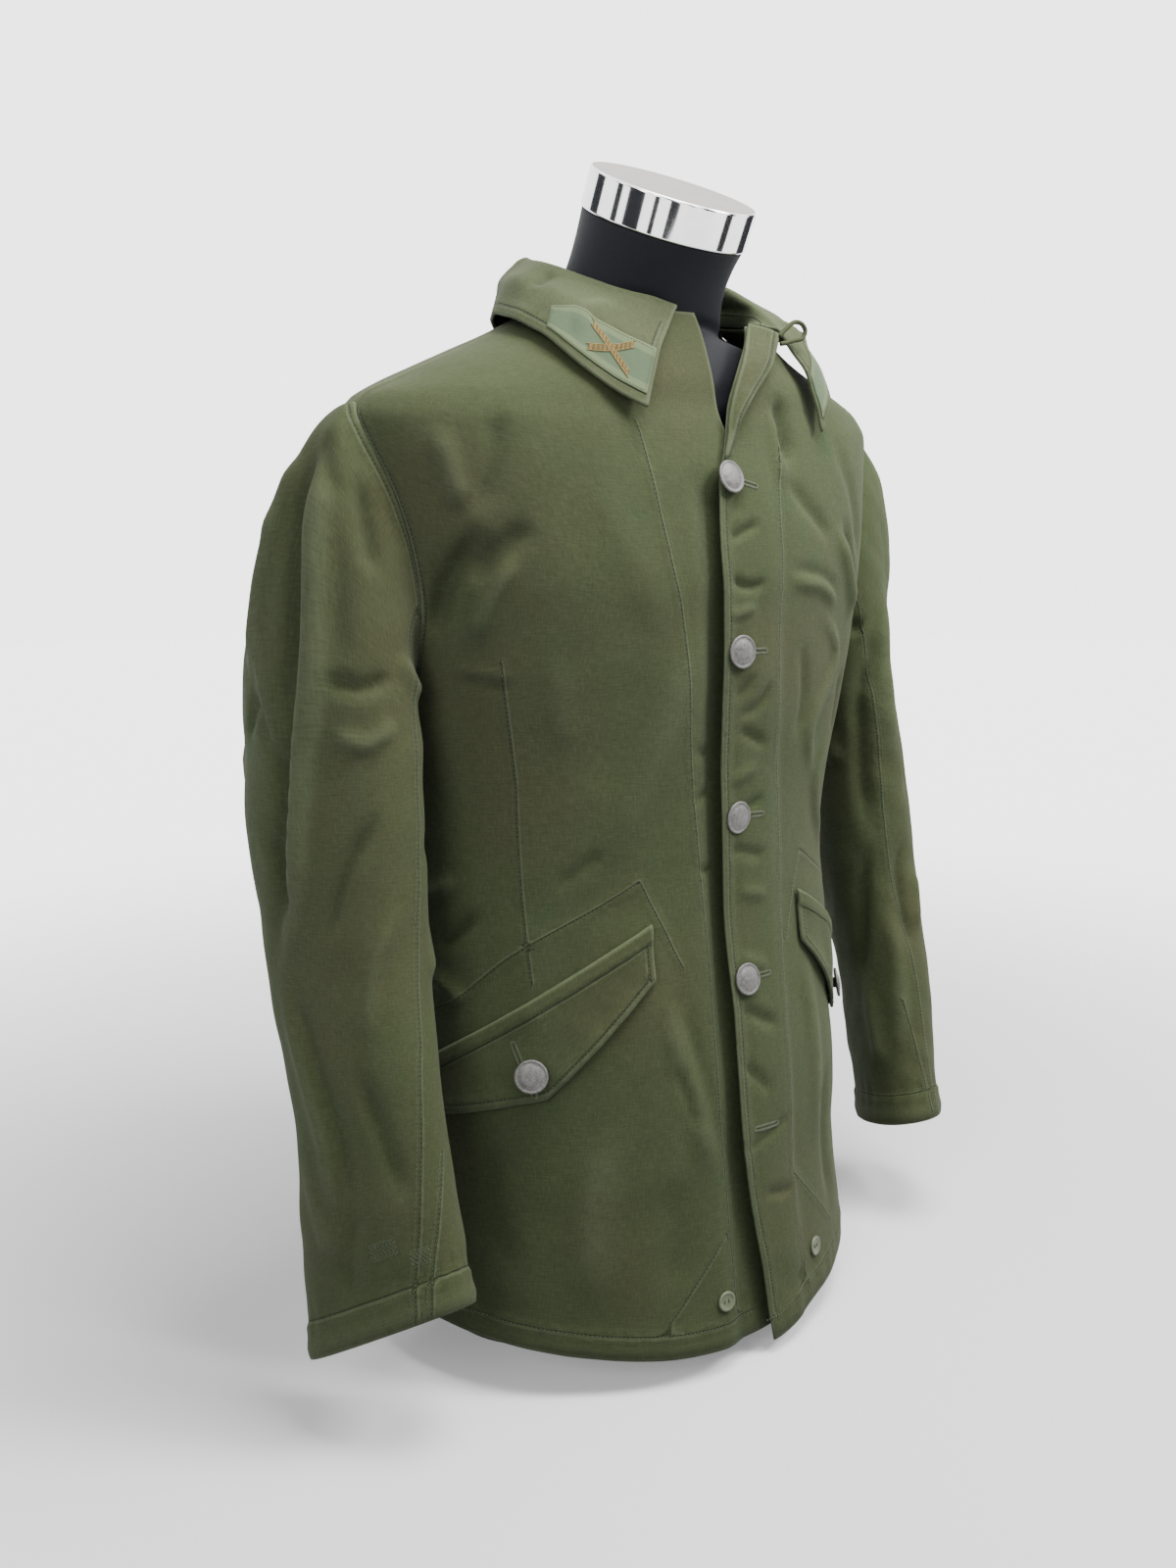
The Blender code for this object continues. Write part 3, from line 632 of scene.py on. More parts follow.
@dataclass(frozen=True)
class ClothFinish:
    """Washed cotton: a fine twill, mottled and rubbed pale on ridges and seam edges, with a painted highlight
    there too, and painted shade in the folds.

    The mesh gives it these values: wear_and_painted_highlight (how worn, and how strong the painted
    highlight), painted_crease_shade (how deep the painted shade in a fold), seam (distance to the nearest
    sewn line in millimetres, with a sign) and edge (distance to the nearest free edge in millimetres).
    """

    name: str = "washed_cotton"
    base: Colour = (0.052, 0.068, 0.027, 1.0)
    # pale serves worn cloth, grain and the painted highlight on ridges and seam edges; deep serves dark
    # grain, seam grooves and the painted shade in folds
    pale: Colour = (0.125, 0.150, 0.082, 1.0)
    deep: Colour = (0.022, 0.030, 0.011, 1.0)
    fresh: Colour = (0.036, 0.062, 0.023, 1.0)
    warm: Colour = (0.060, 0.066, 0.028, 1.0)
    thread: float = 0.00062
    pucker: float = 1.0

    def material(self) -> bpy.types.Material:
        """Builds the finish."""
        g = Graph(self.name, Sheen_Weight=0.03, Sheen_Roughness=0.5, Specular_IOR_Level=0.22)
        place, flat = g.coordinates("Object"), g.coordinates("UV")
        wear_and_painted_highlight, painted_crease_shade, seam, edge, side = (g.attribute(key) for key in ("wear_and_painted_highlight", "painted_crease_shade", "seam", "edge", "side"))
        cloud = g.noise(place, 7.0, 4.0, 0.55)
        patchy = g.noise(place, 26.0, 4.0, 0.6)
        grain = g.noise(g.mapped(flat, (1.0, 7.0, 1.0)), 120.0, 3.0, 0.65)
        slub = g.noise(g.mapped(flat, (6.0, 1.0, 1.0)), 150.0, 3.0, 0.65)
        crumple = g.noise(place, 95.0, 3.0, 0.55)
        colour = g.blend(cloud.step(0.42, 0.68), self.base, self.warm)
        colour = g.blend(patchy.step(0.55, 0.75) * cloud.step(0.60, 0.40) * 0.7, colour, self.fresh)
        # Painted highlight mixed with wear: raised ridges of the relief are painted paler.
        ridge = (wear_and_painted_highlight * (0.4 + crumple * 0.5 + patchy * 0.4)).step(0.15, 1.5)
        near_edge = edge.step(3.0, 0.3) * (0.35 + patchy * 0.8)
        near = seam.step(4.2, 3.4)
        # Pale strip on the folded side of each seam: partly worn pale, partly a painted highlight on the
        # fold.
        welt = (side - 1.5).absolute().step(1.1, 0.3) * near * (0.15 + patchy * 0.5)
        colour = g.blend(ridge * 0.42, colour, self.pale)
        colour = g.blend(near_edge * 0.75, colour, self.pale)
        colour = g.blend(welt, colour, self.pale)
        # Painted shade: cloth sunk in a fold is darkened.
        colour = g.blend(painted_crease_shade.step(0.2, 1.4) * 0.42, colour, self.deep)
        groove = side.absolute().step(0.85, 0.2) * near
        colour = g.blend(groove * 0.9, colour, self.deep)
        speckle = (grain + slub) * 0.5
        colour = g.blend(speckle.step(0.48, 0.66) * 0.20, colour, self.pale)
        colour = g.blend(speckle.step(0.52, 0.36) * 0.30, colour, self.deep)
        across, along = g.parts(flat)
        turn = 2 * math.pi / self.thread
        twill = ((across + along) * turn).sine() * 0.5 + ((across - along * 0.35) * turn * 0.9).sine() * 0.25
        pucker = g.noise(place, 230.0, 1.0, 0.4) * seam.step(7.0, 1.5)
        relief = g.bump(twill, 0.00010, 0.45)
        relief = g.bump(speckle, 0.00035, 0.3, relief)
        relief = g.bump(crumple, 0.0011, 0.42, relief)
        relief = g.bump(pucker, 0.0011 * self.pucker, 0.6, relief)
        relief = g.bump(1.0 - groove, 0.0007, 0.9, relief)
        roughness = 0.80 + speckle * 0.14
        return g.finish(Base_Color=colour, Roughness=roughness, Normal=relief)


@dataclass(frozen=True)
class PatchFinish:
    """Pale sage woven patch, lighter along its two long edges. Band is the mesh's share across it."""

    name: str = "sage_patch"
    middle: Colour = (0.090, 0.132, 0.070, 1.0)
    band: Colour = (0.142, 0.185, 0.090, 1.0)

    def material(self) -> bpy.types.Material:
        """Builds the finish."""
        g = Graph(self.name, Sheen_Weight=0.1, Specular_IOR_Level=0.3)
        flat, place = g.coordinates("UV"), g.coordinates("Object")
        share = g.attribute("band")
        mask = (share - 0.5).absolute().step(0.30, 0.325)
        cloud = g.noise(place, 60.0, 4.0, 0.6)
        colour = g.blend(mask, self.middle, self.band)
        colour = g.blend(cloud.step(0.35, 0.75) * 0.28, colour, (0.115, 0.160, 0.085, 1.0))
        across, along = g.parts(flat)
        rib = (along * (2 * math.pi / 0.0008)).sine() * 0.5 + (across * (2 * math.pi / 0.0007)).sine() * 0.5
        relief = g.bump(g.noise(place, 170.0, 3.0), 0.0008, 0.5, g.bump(rib, 0.00012, 0.6))
        return g.finish(Base_Color=colour, Roughness=0.78 + cloud * 0.12, Normal=relief)


@dataclass(frozen=True)
class ThreadFinish:
    """Sewing thread: a plain colour with light and dark stretches."""

    name: str
    light: Colour
    dark: Colour

    def material(self) -> bpy.types.Material:
        """Builds the finish."""
        g = Graph(self.name, Sheen_Weight=0.15)
        cloud = g.noise(g.coordinates("Object"), 420.0, 3.0, 0.6)
        relief = g.bump(g.noise(g.coordinates("Object"), 2600.0, 1.0), 0.00012, 0.6)
        return g.finish(
            Base_Color=g.blend(cloud, self.dark, self.light), Roughness=0.62 + cloud * 0.2, Normal=relief
        )


@dataclass(frozen=True)
class ButtonFinish:
    """Dull grey stamped metal, pebbled and mottled at random."""

    name: str = "grey_metal"
    light: Colour = (0.150, 0.147, 0.138, 1.0)
    dark: Colour = (0.066, 0.064, 0.060, 1.0)

    def material(self) -> bpy.types.Material:
        """Builds the finish."""
        g = Graph(self.name, Specular_IOR_Level=0.6)
        place = g.coordinates("Object")
        pebble = g.noise(place, 1500.0, 2.0, 0.5)
        cloud = g.noise(place, 330.0, 4.0, 0.6)
        colour = g.blend((pebble * 0.5 + cloud * 0.5).step(0.36, 0.60), self.dark, self.light)
        relief = g.bump(cloud, 0.0005, 0.5, g.bump(pebble, 0.00025, 0.8))
        return g.finish(
            Base_Color=colour, Roughness=0.42 + cloud * 0.22, Metallic=0.25 + pebble * 0.3, Normal=relief
        )


@dataclass(frozen=True)
class PlasticFinish:
    """Moulded plastic of the small corner buttons."""

    name: str = "green_plastic"
    base: Colour = (0.075, 0.098, 0.048, 1.0)

    def material(self) -> bpy.types.Material:
        """Builds the finish."""
        g = Graph(self.name, Specular_IOR_Level=0.5)
        cloud = g.noise(g.coordinates("Object"), 240.0, 3.0)
        colour = g.blend(cloud, self.base, (0.135, 0.160, 0.088, 1.0))
        return g.finish(Base_Color=colour, Roughness=0.36 + cloud * 0.2, Normal=g.bump(cloud, 0.0003, 0.3))


@dataclass(frozen=True)
class FormFinish:
    """Black dress form: a fine knitted cover, faintly mottled."""

    name: str = "form_black"

    def material(self) -> bpy.types.Material:
        """Builds the finish."""
        g = Graph(self.name, Specular_IOR_Level=0.22)
        place = g.coordinates("Object")
        cloud = g.noise(place, 9.0, 3.0)
        fine = g.noise(place, 900.0, 2.0)
        colour = g.blend(cloud, (0.0022, 0.0030, 0.0052, 1.0), (0.0042, 0.0052, 0.0085, 1.0))
        return g.finish(Base_Color=colour, Roughness=0.62 + fine * 0.2, Normal=g.bump(fine, 0.00018, 0.35))


@dataclass(frozen=True)
class CapFinish:
    """Polished metal, or with a coarse grain the brushed top of the cap."""

    name: str
    roughness: float
    brushed: bool

    def material(self) -> bpy.types.Material:
        """Builds the finish."""
        g = Graph(self.name)
        place = g.coordinates("Object")
        streak = g.noise(
            g.mapped(place, (1.0, 14.0, 14.0) if self.brushed else (1.0, 1.0, 1.0)), 110.0, 4.0, 0.6
        )
        dim = (0.15, 0.135, 0.120, 1.0) if self.brushed else (0.60, 0.60, 0.60, 1.0)
        colour = g.blend(streak, dim, (0.25, 0.228, 0.205, 1.0) if self.brushed else (0.74, 0.74, 0.74, 1.0))
        smear = g.noise(place, 30.0, 3.0)
        rough = self.roughness + smear * (0.10 if self.brushed else 0.05)
        relief = g.bump(streak, 0.00008, 0.5 if self.brushed else 0.04)
        metal = 0.96 + streak * 0.04
        return g.finish(Base_Color=colour, Roughness=rough, Metallic=metal, Normal=relief)


@dataclass(frozen=True)
class FloorFinish:
    """Pale matt studio floor that runs into the backdrop's white further out."""

    name: str = "pale_floor"

    def material(self) -> bpy.types.Material:
        """Builds the finish."""
        g = Graph(self.name, Specular_IOR_Level=0.1, Emission_Strength=1.0)
        place = g.coordinates("Object")
        cloud = g.noise(place, 3.0, 3.0)
        far = g.number("ShaderNodeVectorMath", {"operation": "LENGTH"}, {0: place})
        far = Value(g, far.socket.node.outputs["Value"])
        share = far.step(0.35, 1.7)
        lit = g.blend(cloud, (0.86, 0.86, 0.86, 1.0), (0.90, 0.90, 0.90, 1.0))
        colour = g.blend(share, lit, (0.0, 0.0, 0.0, 1.0))
        glow = g.blend(share, (0.25, 0.25, 0.25, 1.0), (3.4, 3.4, 3.4, 1.0))
        return g.finish(Base_Color=colour, Roughness=0.9 + cloud * 0.05, Emission_Color=glow)


@dataclass(frozen=True)
class BackdropFinish:
    """Evenly lit white backdrop."""

    name: str = "white_backdrop"

    def material(self) -> bpy.types.Material:
        """Builds the finish."""
        g = Graph(self.name, Emission_Strength=1.0, Roughness=1.0)
        cloud = g.noise(g.coordinates("Object"), 0.5, 1.0)
        glow = g.blend(cloud, (3.38, 3.38, 3.38, 1.0), (3.42, 3.42, 3.42, 1.0))
        black = g.blend(cloud, (0.0, 0.0, 0.0, 1.0), (0.001, 0.001, 0.001, 1.0))
        return g.finish(Base_Color=black, Emission_Color=glow)


@dataclass(frozen=True)
class Finishes:
    """Every material of the part, made once."""

    cloth: bpy.types.Material
    patch: bpy.types.Material
    thread: bpy.types.Material
    gold: bpy.types.Material
    metal: bpy.types.Material
    plastic: bpy.types.Material
    form: bpy.types.Material
    cap_side: bpy.types.Material
    cap_top: bpy.types.Material

    @staticmethod
    def make() -> "Finishes":
        """Builds them all."""
        return Finishes(
            cloth=ClothFinish().material(),
            patch=PatchFinish().material(),
            thread=ThreadFinish(
                "olive_thread", (0.070, 0.088, 0.040, 1.0), (0.036, 0.048, 0.020, 1.0)
            ).material(),
            gold=ThreadFinish("gold_thread", (0.33, 0.225, 0.052, 1.0), (0.15, 0.095, 0.020, 1.0)).material(),
            metal=ButtonFinish().material(),
            plastic=PlasticFinish().material(),
            form=FormFinish().material(),
            cap_side=CapFinish("cap_polished", 0.05, False).material(),
            cap_top=CapFinish("cap_brushed", 0.34, True).material(),
        )


# ---------------------------------------------------------------- panels


def spread(levels: Array, pitch: float, follow: Array) -> tuple[Array, Array]:
    """Two lists of levels made finer together, so that steps of the first are about one pitch."""
    count = np.maximum(np.round(np.abs(np.diff(follow)) / pitch), 1).astype(int)
    at = np.concatenate([np.arange(n) / n + k for k, n in enumerate(count)] + [[len(count)]])
    index = np.arange(len(levels))
    return np.interp(at, index, levels), np.interp(at, index, follow)


@dataclass
class Look:
    """What a finished piece of cloth gives its finish at every point, with its painted highlight and painted
    shade, and the relief that moved it.
    """

    relief: Array
    wear_and_painted_highlight: Array
    painted_crease_shade: Array

    @staticmethod
    def of(relief: Array) -> "Look":
        """Raised cloth is rubbed pale with a painted highlight and sunk cloth gets painted shade, in
        proportion to the relief in millimetres.
        """
        return Look(relief, np.clip(relief / 3.6, 0, 1.2), np.clip(-relief / 3.4, 0, 1.2))


def values_of(look: Look, edge: Array, seam: dict[str, Array]) -> dict[str, Array]:
    """The named values of a piece."""
    return {"wear_and_painted_highlight": look.wear_and_painted_highlight, "painted_crease_shade": look.painted_crease_shade, "edge": edge, **seam}


def rim_distance(grid: Array, closed: bool = False) -> Array:
    """Distance from each point to the nearest edge of the grid, along its row or column."""
    up = np.linalg.norm(np.diff(grid, axis=0), axis=-1)
    low = np.concatenate([np.zeros((1, grid.shape[1])), np.cumsum(up, axis=0)])
    near = np.minimum(low, low[-1:] - low)
    if closed:
        return near
    across = np.linalg.norm(np.diff(grid, axis=1), axis=-1)
    left = np.concatenate([np.zeros((grid.shape[0], 1)), np.cumsum(across, axis=1)], axis=1)
    return np.minimum(near, np.minimum(left, left[:, -1:] - left))


def seam_distance(
    points: Array, normals: Array, lines: Sequence[Array], most: float = 12.0
) -> dict[str, Array]:
    """Distance to the nearest sewn line, no more than most, and the same with the line's side as its sign.

    Args:
        points: a grid of points.
        normals: the cloth's normals there.
        lines: the sewn lines.
        most: the largest distance told.

    Returns:
        The values seam and side, in the shape of the grid.
    """
    flat, out = points.reshape(-1, 3), normals.reshape(-1, 3)
    best, side = np.full(len(flat), most), np.full(len(flat), most)
    for line in lines:
        close = ((flat > line.min(0) - most) & (flat < line.max(0) + most)).all(1)
        if not close.any():
            continue
        signed = side_of(flat[close], line, out[close])
        nearer = np.abs(signed) < best[close]
        number = np.flatnonzero(close)[nearer]
        best[number], side[number] = np.abs(signed[nearer]), signed[nearer]
    return {"seam": best.reshape(points.shape[:2]), "side": side.reshape(points.shape[:2])}


def flat_size(grid: Array) -> tuple[tuple[float, float], float]:
    """Flat width and length of a cut in metres, from its longest row and column, and its flat area."""
    width = np.linalg.norm(np.diff(grid, axis=1), axis=-1).sum(1).max()
    length = np.linalg.norm(np.diff(grid, axis=0), axis=-1).sum(0).max()
    a, b = grid[1:, 1:] - grid[:-1, :-1], grid[1:, :-1] - grid[:-1, 1:]
    area = np.linalg.norm(np.cross(a, b), axis=-1).sum() / 2
    box = width * length
    return (float(width) * MM, float(length) * MM), float(min(area, box)) * MM * MM


PITCH = 3.4
STITCH_PITCH = 2.9
STITCH_LENGTH = 2.0
THREAD_RADIUS = 0.26


@dataclass
class BodyPanel:
    """A piece cut to lie on the body: a front or the back. Its own coordinates are angle and height.

    Lines and creases are given as distance to the wearer's left and height, in millimetres.
    """

    name: str
    nodes: tuple[str, ...]
    side: int
    creases: tuple[Crease, ...]
    sewn: tuple[tuple[tuple[float, float], ...], ...]
    rough: float = 0.75
    seed: int = 3
    behind: bool = False
    doubled: int = 0

    def lift(self, angle: Array, height: Array) -> Array:
        """How far the piece lies outside the body surface."""
        return np.zeros(np.shape(angle))

    def angle(self, x: Array, height: Array) -> Array:
        """Angle round the body of a place given by its distance to the wearer's left."""
        turn = BODY.angle_of(x, height)
        return math.pi - turn if self.behind else turn

    def calm(self, angle: Array, height: Array) -> Array:
        """Share of the relief kept: none at the side seam, armhole, shoulder and neck, where pieces meet."""
        reach = armhole_angle(height, self.behind)
        round_body = np.abs(math.pi - np.mod(angle, 2 * math.pi)) if self.behind else np.abs(angle)
        aside = (reach - round_body) * BODY.read(2, height)
        return ease(aside / 16) * (0.25 + 0.75 * ease((NECKLINE - 10 - height) / 40))

    def bare(self, angle: Array, height: Array) -> tuple[Array, Array]:
        """Points on the uncreased surface, and their normals."""
        normal = BODY.normal(angle, height)
        return BODY.point(angle, height) + normal * self.lift(angle, height)[..., None], normal

    def push(self, angle: Array, height: Array) -> Array:
        """Broad relief of this piece besides its creases."""
        return np.zeros(np.shape(angle))

    def relief(self, angle: Array, height: Array) -> Array:
        """Creases, rumples and broad relief, faded where the piece is sewn to others."""
        angle, height = np.broadcast_arrays(np.asarray(angle, float), np.asarray(height, float))
        points, normals = self.bare(angle.ravel(), height.ravel())

        def place(x: Array, z: Array) -> Array:
            """A crease's place on the bare surface."""
            return self.bare(self.angle(x, z), z)[0]

        folds = crease_field(points, normals, self.creases, place)
        loose = (
            rumple(points, 95, self.seed) * self.rough
            + rumple(points, 34, self.seed + 7) * self.rough * 0.28
        )
        total = folds + loose
        total *= self.calm(angle.ravel(), height.ravel())
        return total.reshape(angle.shape) + self.push(angle, height)

    def surface(self, angle: Array, height: Array, out: float = 0.0) -> tuple[Array, Array]:
        """Points on the creased cloth, out beyond its middle, and the normals there."""
        points, normals = self.bare(angle, height)
        return points + normals * (self.relief(angle, height) + out)[..., None], normals

    def lines(self) -> list[Array]:
        """Sewn lines as closely spaced places in angle and height."""
        found = []
        for line in self.sewn:
            fine = resample(np.array(line, float), 24 * len(line))
            found.append(np.stack([self.angle(fine[:, 0], fine[:, 1]), fine[:, 1]], axis=1))
        return found

    def grid(self) -> tuple[Array, Array]:
        """Angle and height of the cut's points."""
        raise NotImplementedError

    def levels(self, neck: float) -> tuple[Array, Array]:
        """Heights of the rows at the panel's outer edge and at its middle, from the hem upwards."""
        below = np.array([60, 120, 190, 260, 330, 395, 440, ARMPIT])
        shares = np.array((0.07, 0.2, 0.36, 0.52, 0.68, 0.82, 0.93, 1.0))
        armhole = ARMPIT + (SHOULDER - ARMPIT) * shares
        top = SHOULDER + (NECKLINE - SHOULDER) * np.array((0.25, 0.5, 0.75, 1.0))
        outer = np.concatenate([[HEM_SIDE], below, armhole, top])
        low = HEM_BACK if self.behind else HEM_FRONT
        climb = len(armhole) + len(top)
        middle = np.concatenate([[low], below, ARMPIT + (neck - ARMPIT) * np.arange(1, climb + 1) / climb])
        middle_fine, outer_fine = spread(middle, PITCH, outer)
        return outer_fine, middle_fine

    def cut(self) -> tuple[Array, Look, Array, dict[str, Array]]:
        """The creased grid, its look, its distance to the free edges and to the sewn lines."""
        angle, height = self.grid()
        points, _ = self.bare(angle, height)
        relief = self.relief(angle, height)
        mid = self.surface(angle, height)[0]
        lines = [self.bare(line[:, 0], line[:, 1])[0] for line in self.lines()[: -self.doubled or None]]
        seam = seam_distance(points, BODY.normal(angle, height), lines)
        return mid, Look.of(relief), rim_distance(points), seam

    def build(self, finishes: Finishes) -> list[bpy.types.Object]:
        """Makes the cloth and its stitching.

        Args:
            finishes: the materials to dress it with.

        Returns:
            The pieces made.
        """
        mid, look, edge, seam = self.cut()
        cloth = make_object(self.name, shell(mid, CLOTH, values_of(look, edge, seam)), finishes.cloth)
        runs = []
        for line in self.lines():
            points, normals = self.surface(line[:, 0], line[:, 1], CLOTH / 2 - 0.15)
            runs.append(stitches(points, normals, STITCH_PITCH, STITCH_LENGTH, THREAD_RADIUS))
        thread = make_object(f"{self.name}_stitching", joined(runs), finishes.thread)
        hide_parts(*self.nodes)
        flat, area = flat_size(mid)
        return [cloth, thread]


def hem_height(angle: Array, behind: bool) -> Array:
    """Height of the hem round the body: lowest in the middle, highest at the side."""
    low = HEM_BACK if behind else HEM_FRONT
    return low + (HEM_SIDE - low) * np.sin(angle) ** 2


def hem_relief(x: Array, above: Array) -> Array:
    """The turned-up hem: a double layer 16 mm deep, drawn into small puckers along its stitching."""
    pucker = 0.4 * np.sin(x / 2.3 + 2.0 * np.sin(x / 17)) * np.exp(-(((above - 12) / 7) ** 2))
    return 0.8 * (1 - ease((above - 15.5) / 1.5)) + pucker


@dataclass
class FrontPanel(BodyPanel):
    """A front: hem to neck, from its button edge to the side seam."""

    edge: Array = field(default_factory=lambda: RIGHT_EDGE)
    neck: float = NECKLINE
    doubled: int = 1

    def lift(self, angle: Array, height: Array) -> Array:
        """The left front lies over the right one and stands off at the lapel."""
        if self.side < 0:
            return np.zeros(np.shape(angle))
        return left_lift(BODY.point(angle, height)[..., 0], height)

    def push(self, angle: Array, height: Array) -> Array:
        """The right front is pressed in below the left one's overlap; a pocket bag stands out a little."""
        x = BODY.point(angle, height)[..., 0]
        total = np.zeros(np.shape(angle))
        if self.side < 0:
            total = total - 6.4 * ease((x + 46) / 24) * (1 - ease((height - 585) / 30))
        else:
            total = total + 0.5 * (1 - ease((np.abs(x - 13) - 19) / 3)) * (1 - ease((height - 600) / 20))
            total = total + 1.6 * (1 - ease((x + 22) / 14)) * (1 - ease((height - 585) / 30))
        low = -82.0 if self.side < 0 else 82.0
        bag = ease((52 - np.abs(x - low * 1.4)) / 14) * ease((330 - height) / 20) * ease((height - 118) / 30)
        above = height + self.drop(x) - hem_height(angle, False)
        return total + 1.0 * bag + hem_relief(x, above)

    def drop(self, x: Array) -> Array:
        """How much lower the left front's corner hangs."""
        return 7.0 * (1 - ease(np.abs(x) / 60)) if self.side > 0 else np.zeros(np.shape(x))

    def grid(self) -> tuple[Array, Array]:
        """Angle and height of the cut's points: rows from the hem, columns towards the wearer's left."""
        outer, middle = self.levels(self.neck)
        columns = int(300 / PITCH)
        across = np.linspace(0, 1, columns)
        far = armhole_angle(outer, False)[:, None] - SEAM / 100
        height = np.repeat(middle[:, None], columns, axis=1)
        low = np.clip((60 - middle) / (60 - HEM_FRONT), 0, 1)[:, None]
        for _ in range(6):
            rim = smooth(self.edge, 1, height[:, :1]) * self.side
            near = BODY.angle_of(rim * self.side, height[:, :1]) * self.side
            angle = near + (far - near) * across
            rise = middle[:, None] + (outer - middle)[:, None] * (np.abs(angle) / far) ** 1.4
            hem = hem_height(angle, False) * low + 60 * (1 - low)
            height = np.where(low > 0, hem, rise)
        angle = angle * self.side
        x = BODY.point(angle, height)[..., 0]
        height = height - self.drop(x) * low
        return (angle[:, ::-1], height[:, ::-1]) if self.side < 0 else (angle, height)

    def hem_line(self, above: float) -> Array:
        """A line that many millimetres above the hem."""
        angle = np.linspace(0.0, math.pi / 2 - 0.03, 90) * self.side
        if self.side < 0:
            angle = angle - 0.02
        height = hem_height(angle, False) - self.drop(BODY.point(angle, np.full(90, 20.0))[..., 0]) + above
        return np.stack([angle, height], axis=1)

    def edge_line(self, inside: float) -> Array:
        """A line that many millimetres inside the button edge, from the hem to the top."""
        height = np.linspace(24, (598 if self.side < 0 else 700), 190)
        x = smooth(self.edge, 1, height) + inside * self.side
        return np.stack([BODY.angle_of(x, height), height], axis=1)

    def armhole_line(self, inside: float) -> Array:
        """A line inside the armhole, then along the shoulder seam."""
        height = np.linspace(ARMPIT + 6, SHOULDER - 6, 80)
        reach = armhole_angle(height, False) - inside / BODY.read(2, height)
        return np.stack([reach * self.side, height], axis=1)

    def lines(self) -> list[Array]:
        """Sewn lines of the front, with its hem, edge and armhole."""
        more = [self.hem_line(16.0), self.edge_line(4.8), self.armhole_line(5.0), self.armhole_line(1.4)]
        return super().lines() + more


@dataclass
class BackPanel(BodyPanel):
    """The back: one piece from the hem to the neck, from side seam to side seam."""

    behind: bool = True

    def grid(self) -> tuple[Array, Array]:
        """Angle and height of the cut's points."""
        outer, middle = self.levels(NECKLINE)
        across = np.linspace(1, -1, int(580 / PITCH))
        reach = (armhole_angle(outer, True) - SEAM / 100)[:, None]
        angle = math.pi - across * reach
        low = np.clip((60 - middle) / (60 - HEM_BACK), 0, 1)[:, None]
        rise = middle[:, None] + (outer - middle)[:, None] * np.abs(across) ** 1.6
        height = np.where(low > 0, hem_height(angle, True) * low + 60 * (1 - low), rise)
        return angle, height

    def push(self, angle: Array, height: Array) -> Array:
        """The turned-up hem, and down the middle a little hollow between the shoulder blades with fullness
        below it.
        """
        middle = np.cos(angle - math.pi)
        turned = hem_relief(BODY.point(angle, height)[..., 0], height - hem_height(angle, True))
        return (
            turned
            + 1.2 * ease((middle - 0.8) / 0.2) * np.sin((height - 430) / 45) * ease((height - 330) / 60) * 0.6
        )

    def lines(self) -> list[Array]:
        """Sewn lines of the back: hem and both armholes."""
        found = super().lines()
        angle = math.pi + np.linspace(-1, 1, 170) * (math.pi / 2 - 0.03)
        found.append(np.stack([angle, hem_height(angle, True) + 16], axis=1))
        height = np.linspace(ARMPIT + 6, SHOULDER - 6, 80)
        for side in (-1, 1):
            reach = armhole_angle(height, True) - 5.0 / BODY.read(2, height)
            found.append(np.stack([math.pi - side * reach, height], axis=1))
        return found


Span = tuple[tuple[float, float], ...]
C = Crease  # a short name for the tables of creases below

PLACKET_FOLDS: tuple[Crease, ...] = (
    C(((2, 600), (-7, 580)), -1.5, 5), C(((15, 577), (-15, 565)), -1.8, 5),
    C(((-17, 544), (-2, 535), (19, 538)), -1.8, 5), C(((-20, 516), (9, 522)), 1.2, 5),
    C(((5, 476), (-11, 460)), -2, 5), C(((24, 472), (11, 456), (-11, 448)), -1.6, 5),
    C(((-10, 442), (23, 426)), -1.8, 5), C(((-16, 404), (12, 415)), 1.5, 5),
    C(((-15, 380), (20, 392)), -1.6, 5), C(((-19, 361), (21, 349)), -1.6, 5),
    C(((-10, 330), (22, 322)), 1.2, 5), C(((-16, 285), (18, 272)), 1.2, 5),
    C(((-19, 252), (24, 228)), -1.8, 6), C(((-19, 214), (11, 184)), -1.5, 5),
    C(((-27, 150), (34, 163)), -1.2, 5), C(((-6, 116), (33, 108)), -1.5, 5),
    C(((0, 48), (47, 40)), -1.6, 6),
)

LEFT_FOLDS: tuple[Crease, ...] = (
    C(((111, 576), (138, 529), (149, 504)), 3.5, 12, 0.8), C(((43, 538), (85, 532), (113, 517)), 2.0, 8, 0.6),
    C(((81, 518), (113, 482), (77, 433), (93, 388)), 2.5, 9), C(((131, 432), (95, 392), (121, 332)), 2.5, 9),
    C(((49, 607), (76, 586), (107, 562)), -2.0, 10), C(((60, 500), (66, 455), (58, 420)), -1.8, 8),
    C(((140, 470), (128, 410)), -3.0, 12), C(((100, 300), (110, 230)), 2.5, 16),
    C(((150, 260), (140, 140)), -3.0, 20), C(((60, 290), (72, 200), (66, 120)), 2.0, 14),
    C(((57, 664), (60, 612)), -4.0, 12), C(((46, 655), (50, 598)), 2.0, 9),
    C(((95, 190), (88, 120), (96, 60)), -2.2, 13), C(((120, 640), (150, 590), (160, 540)), -2.0, 13),
)

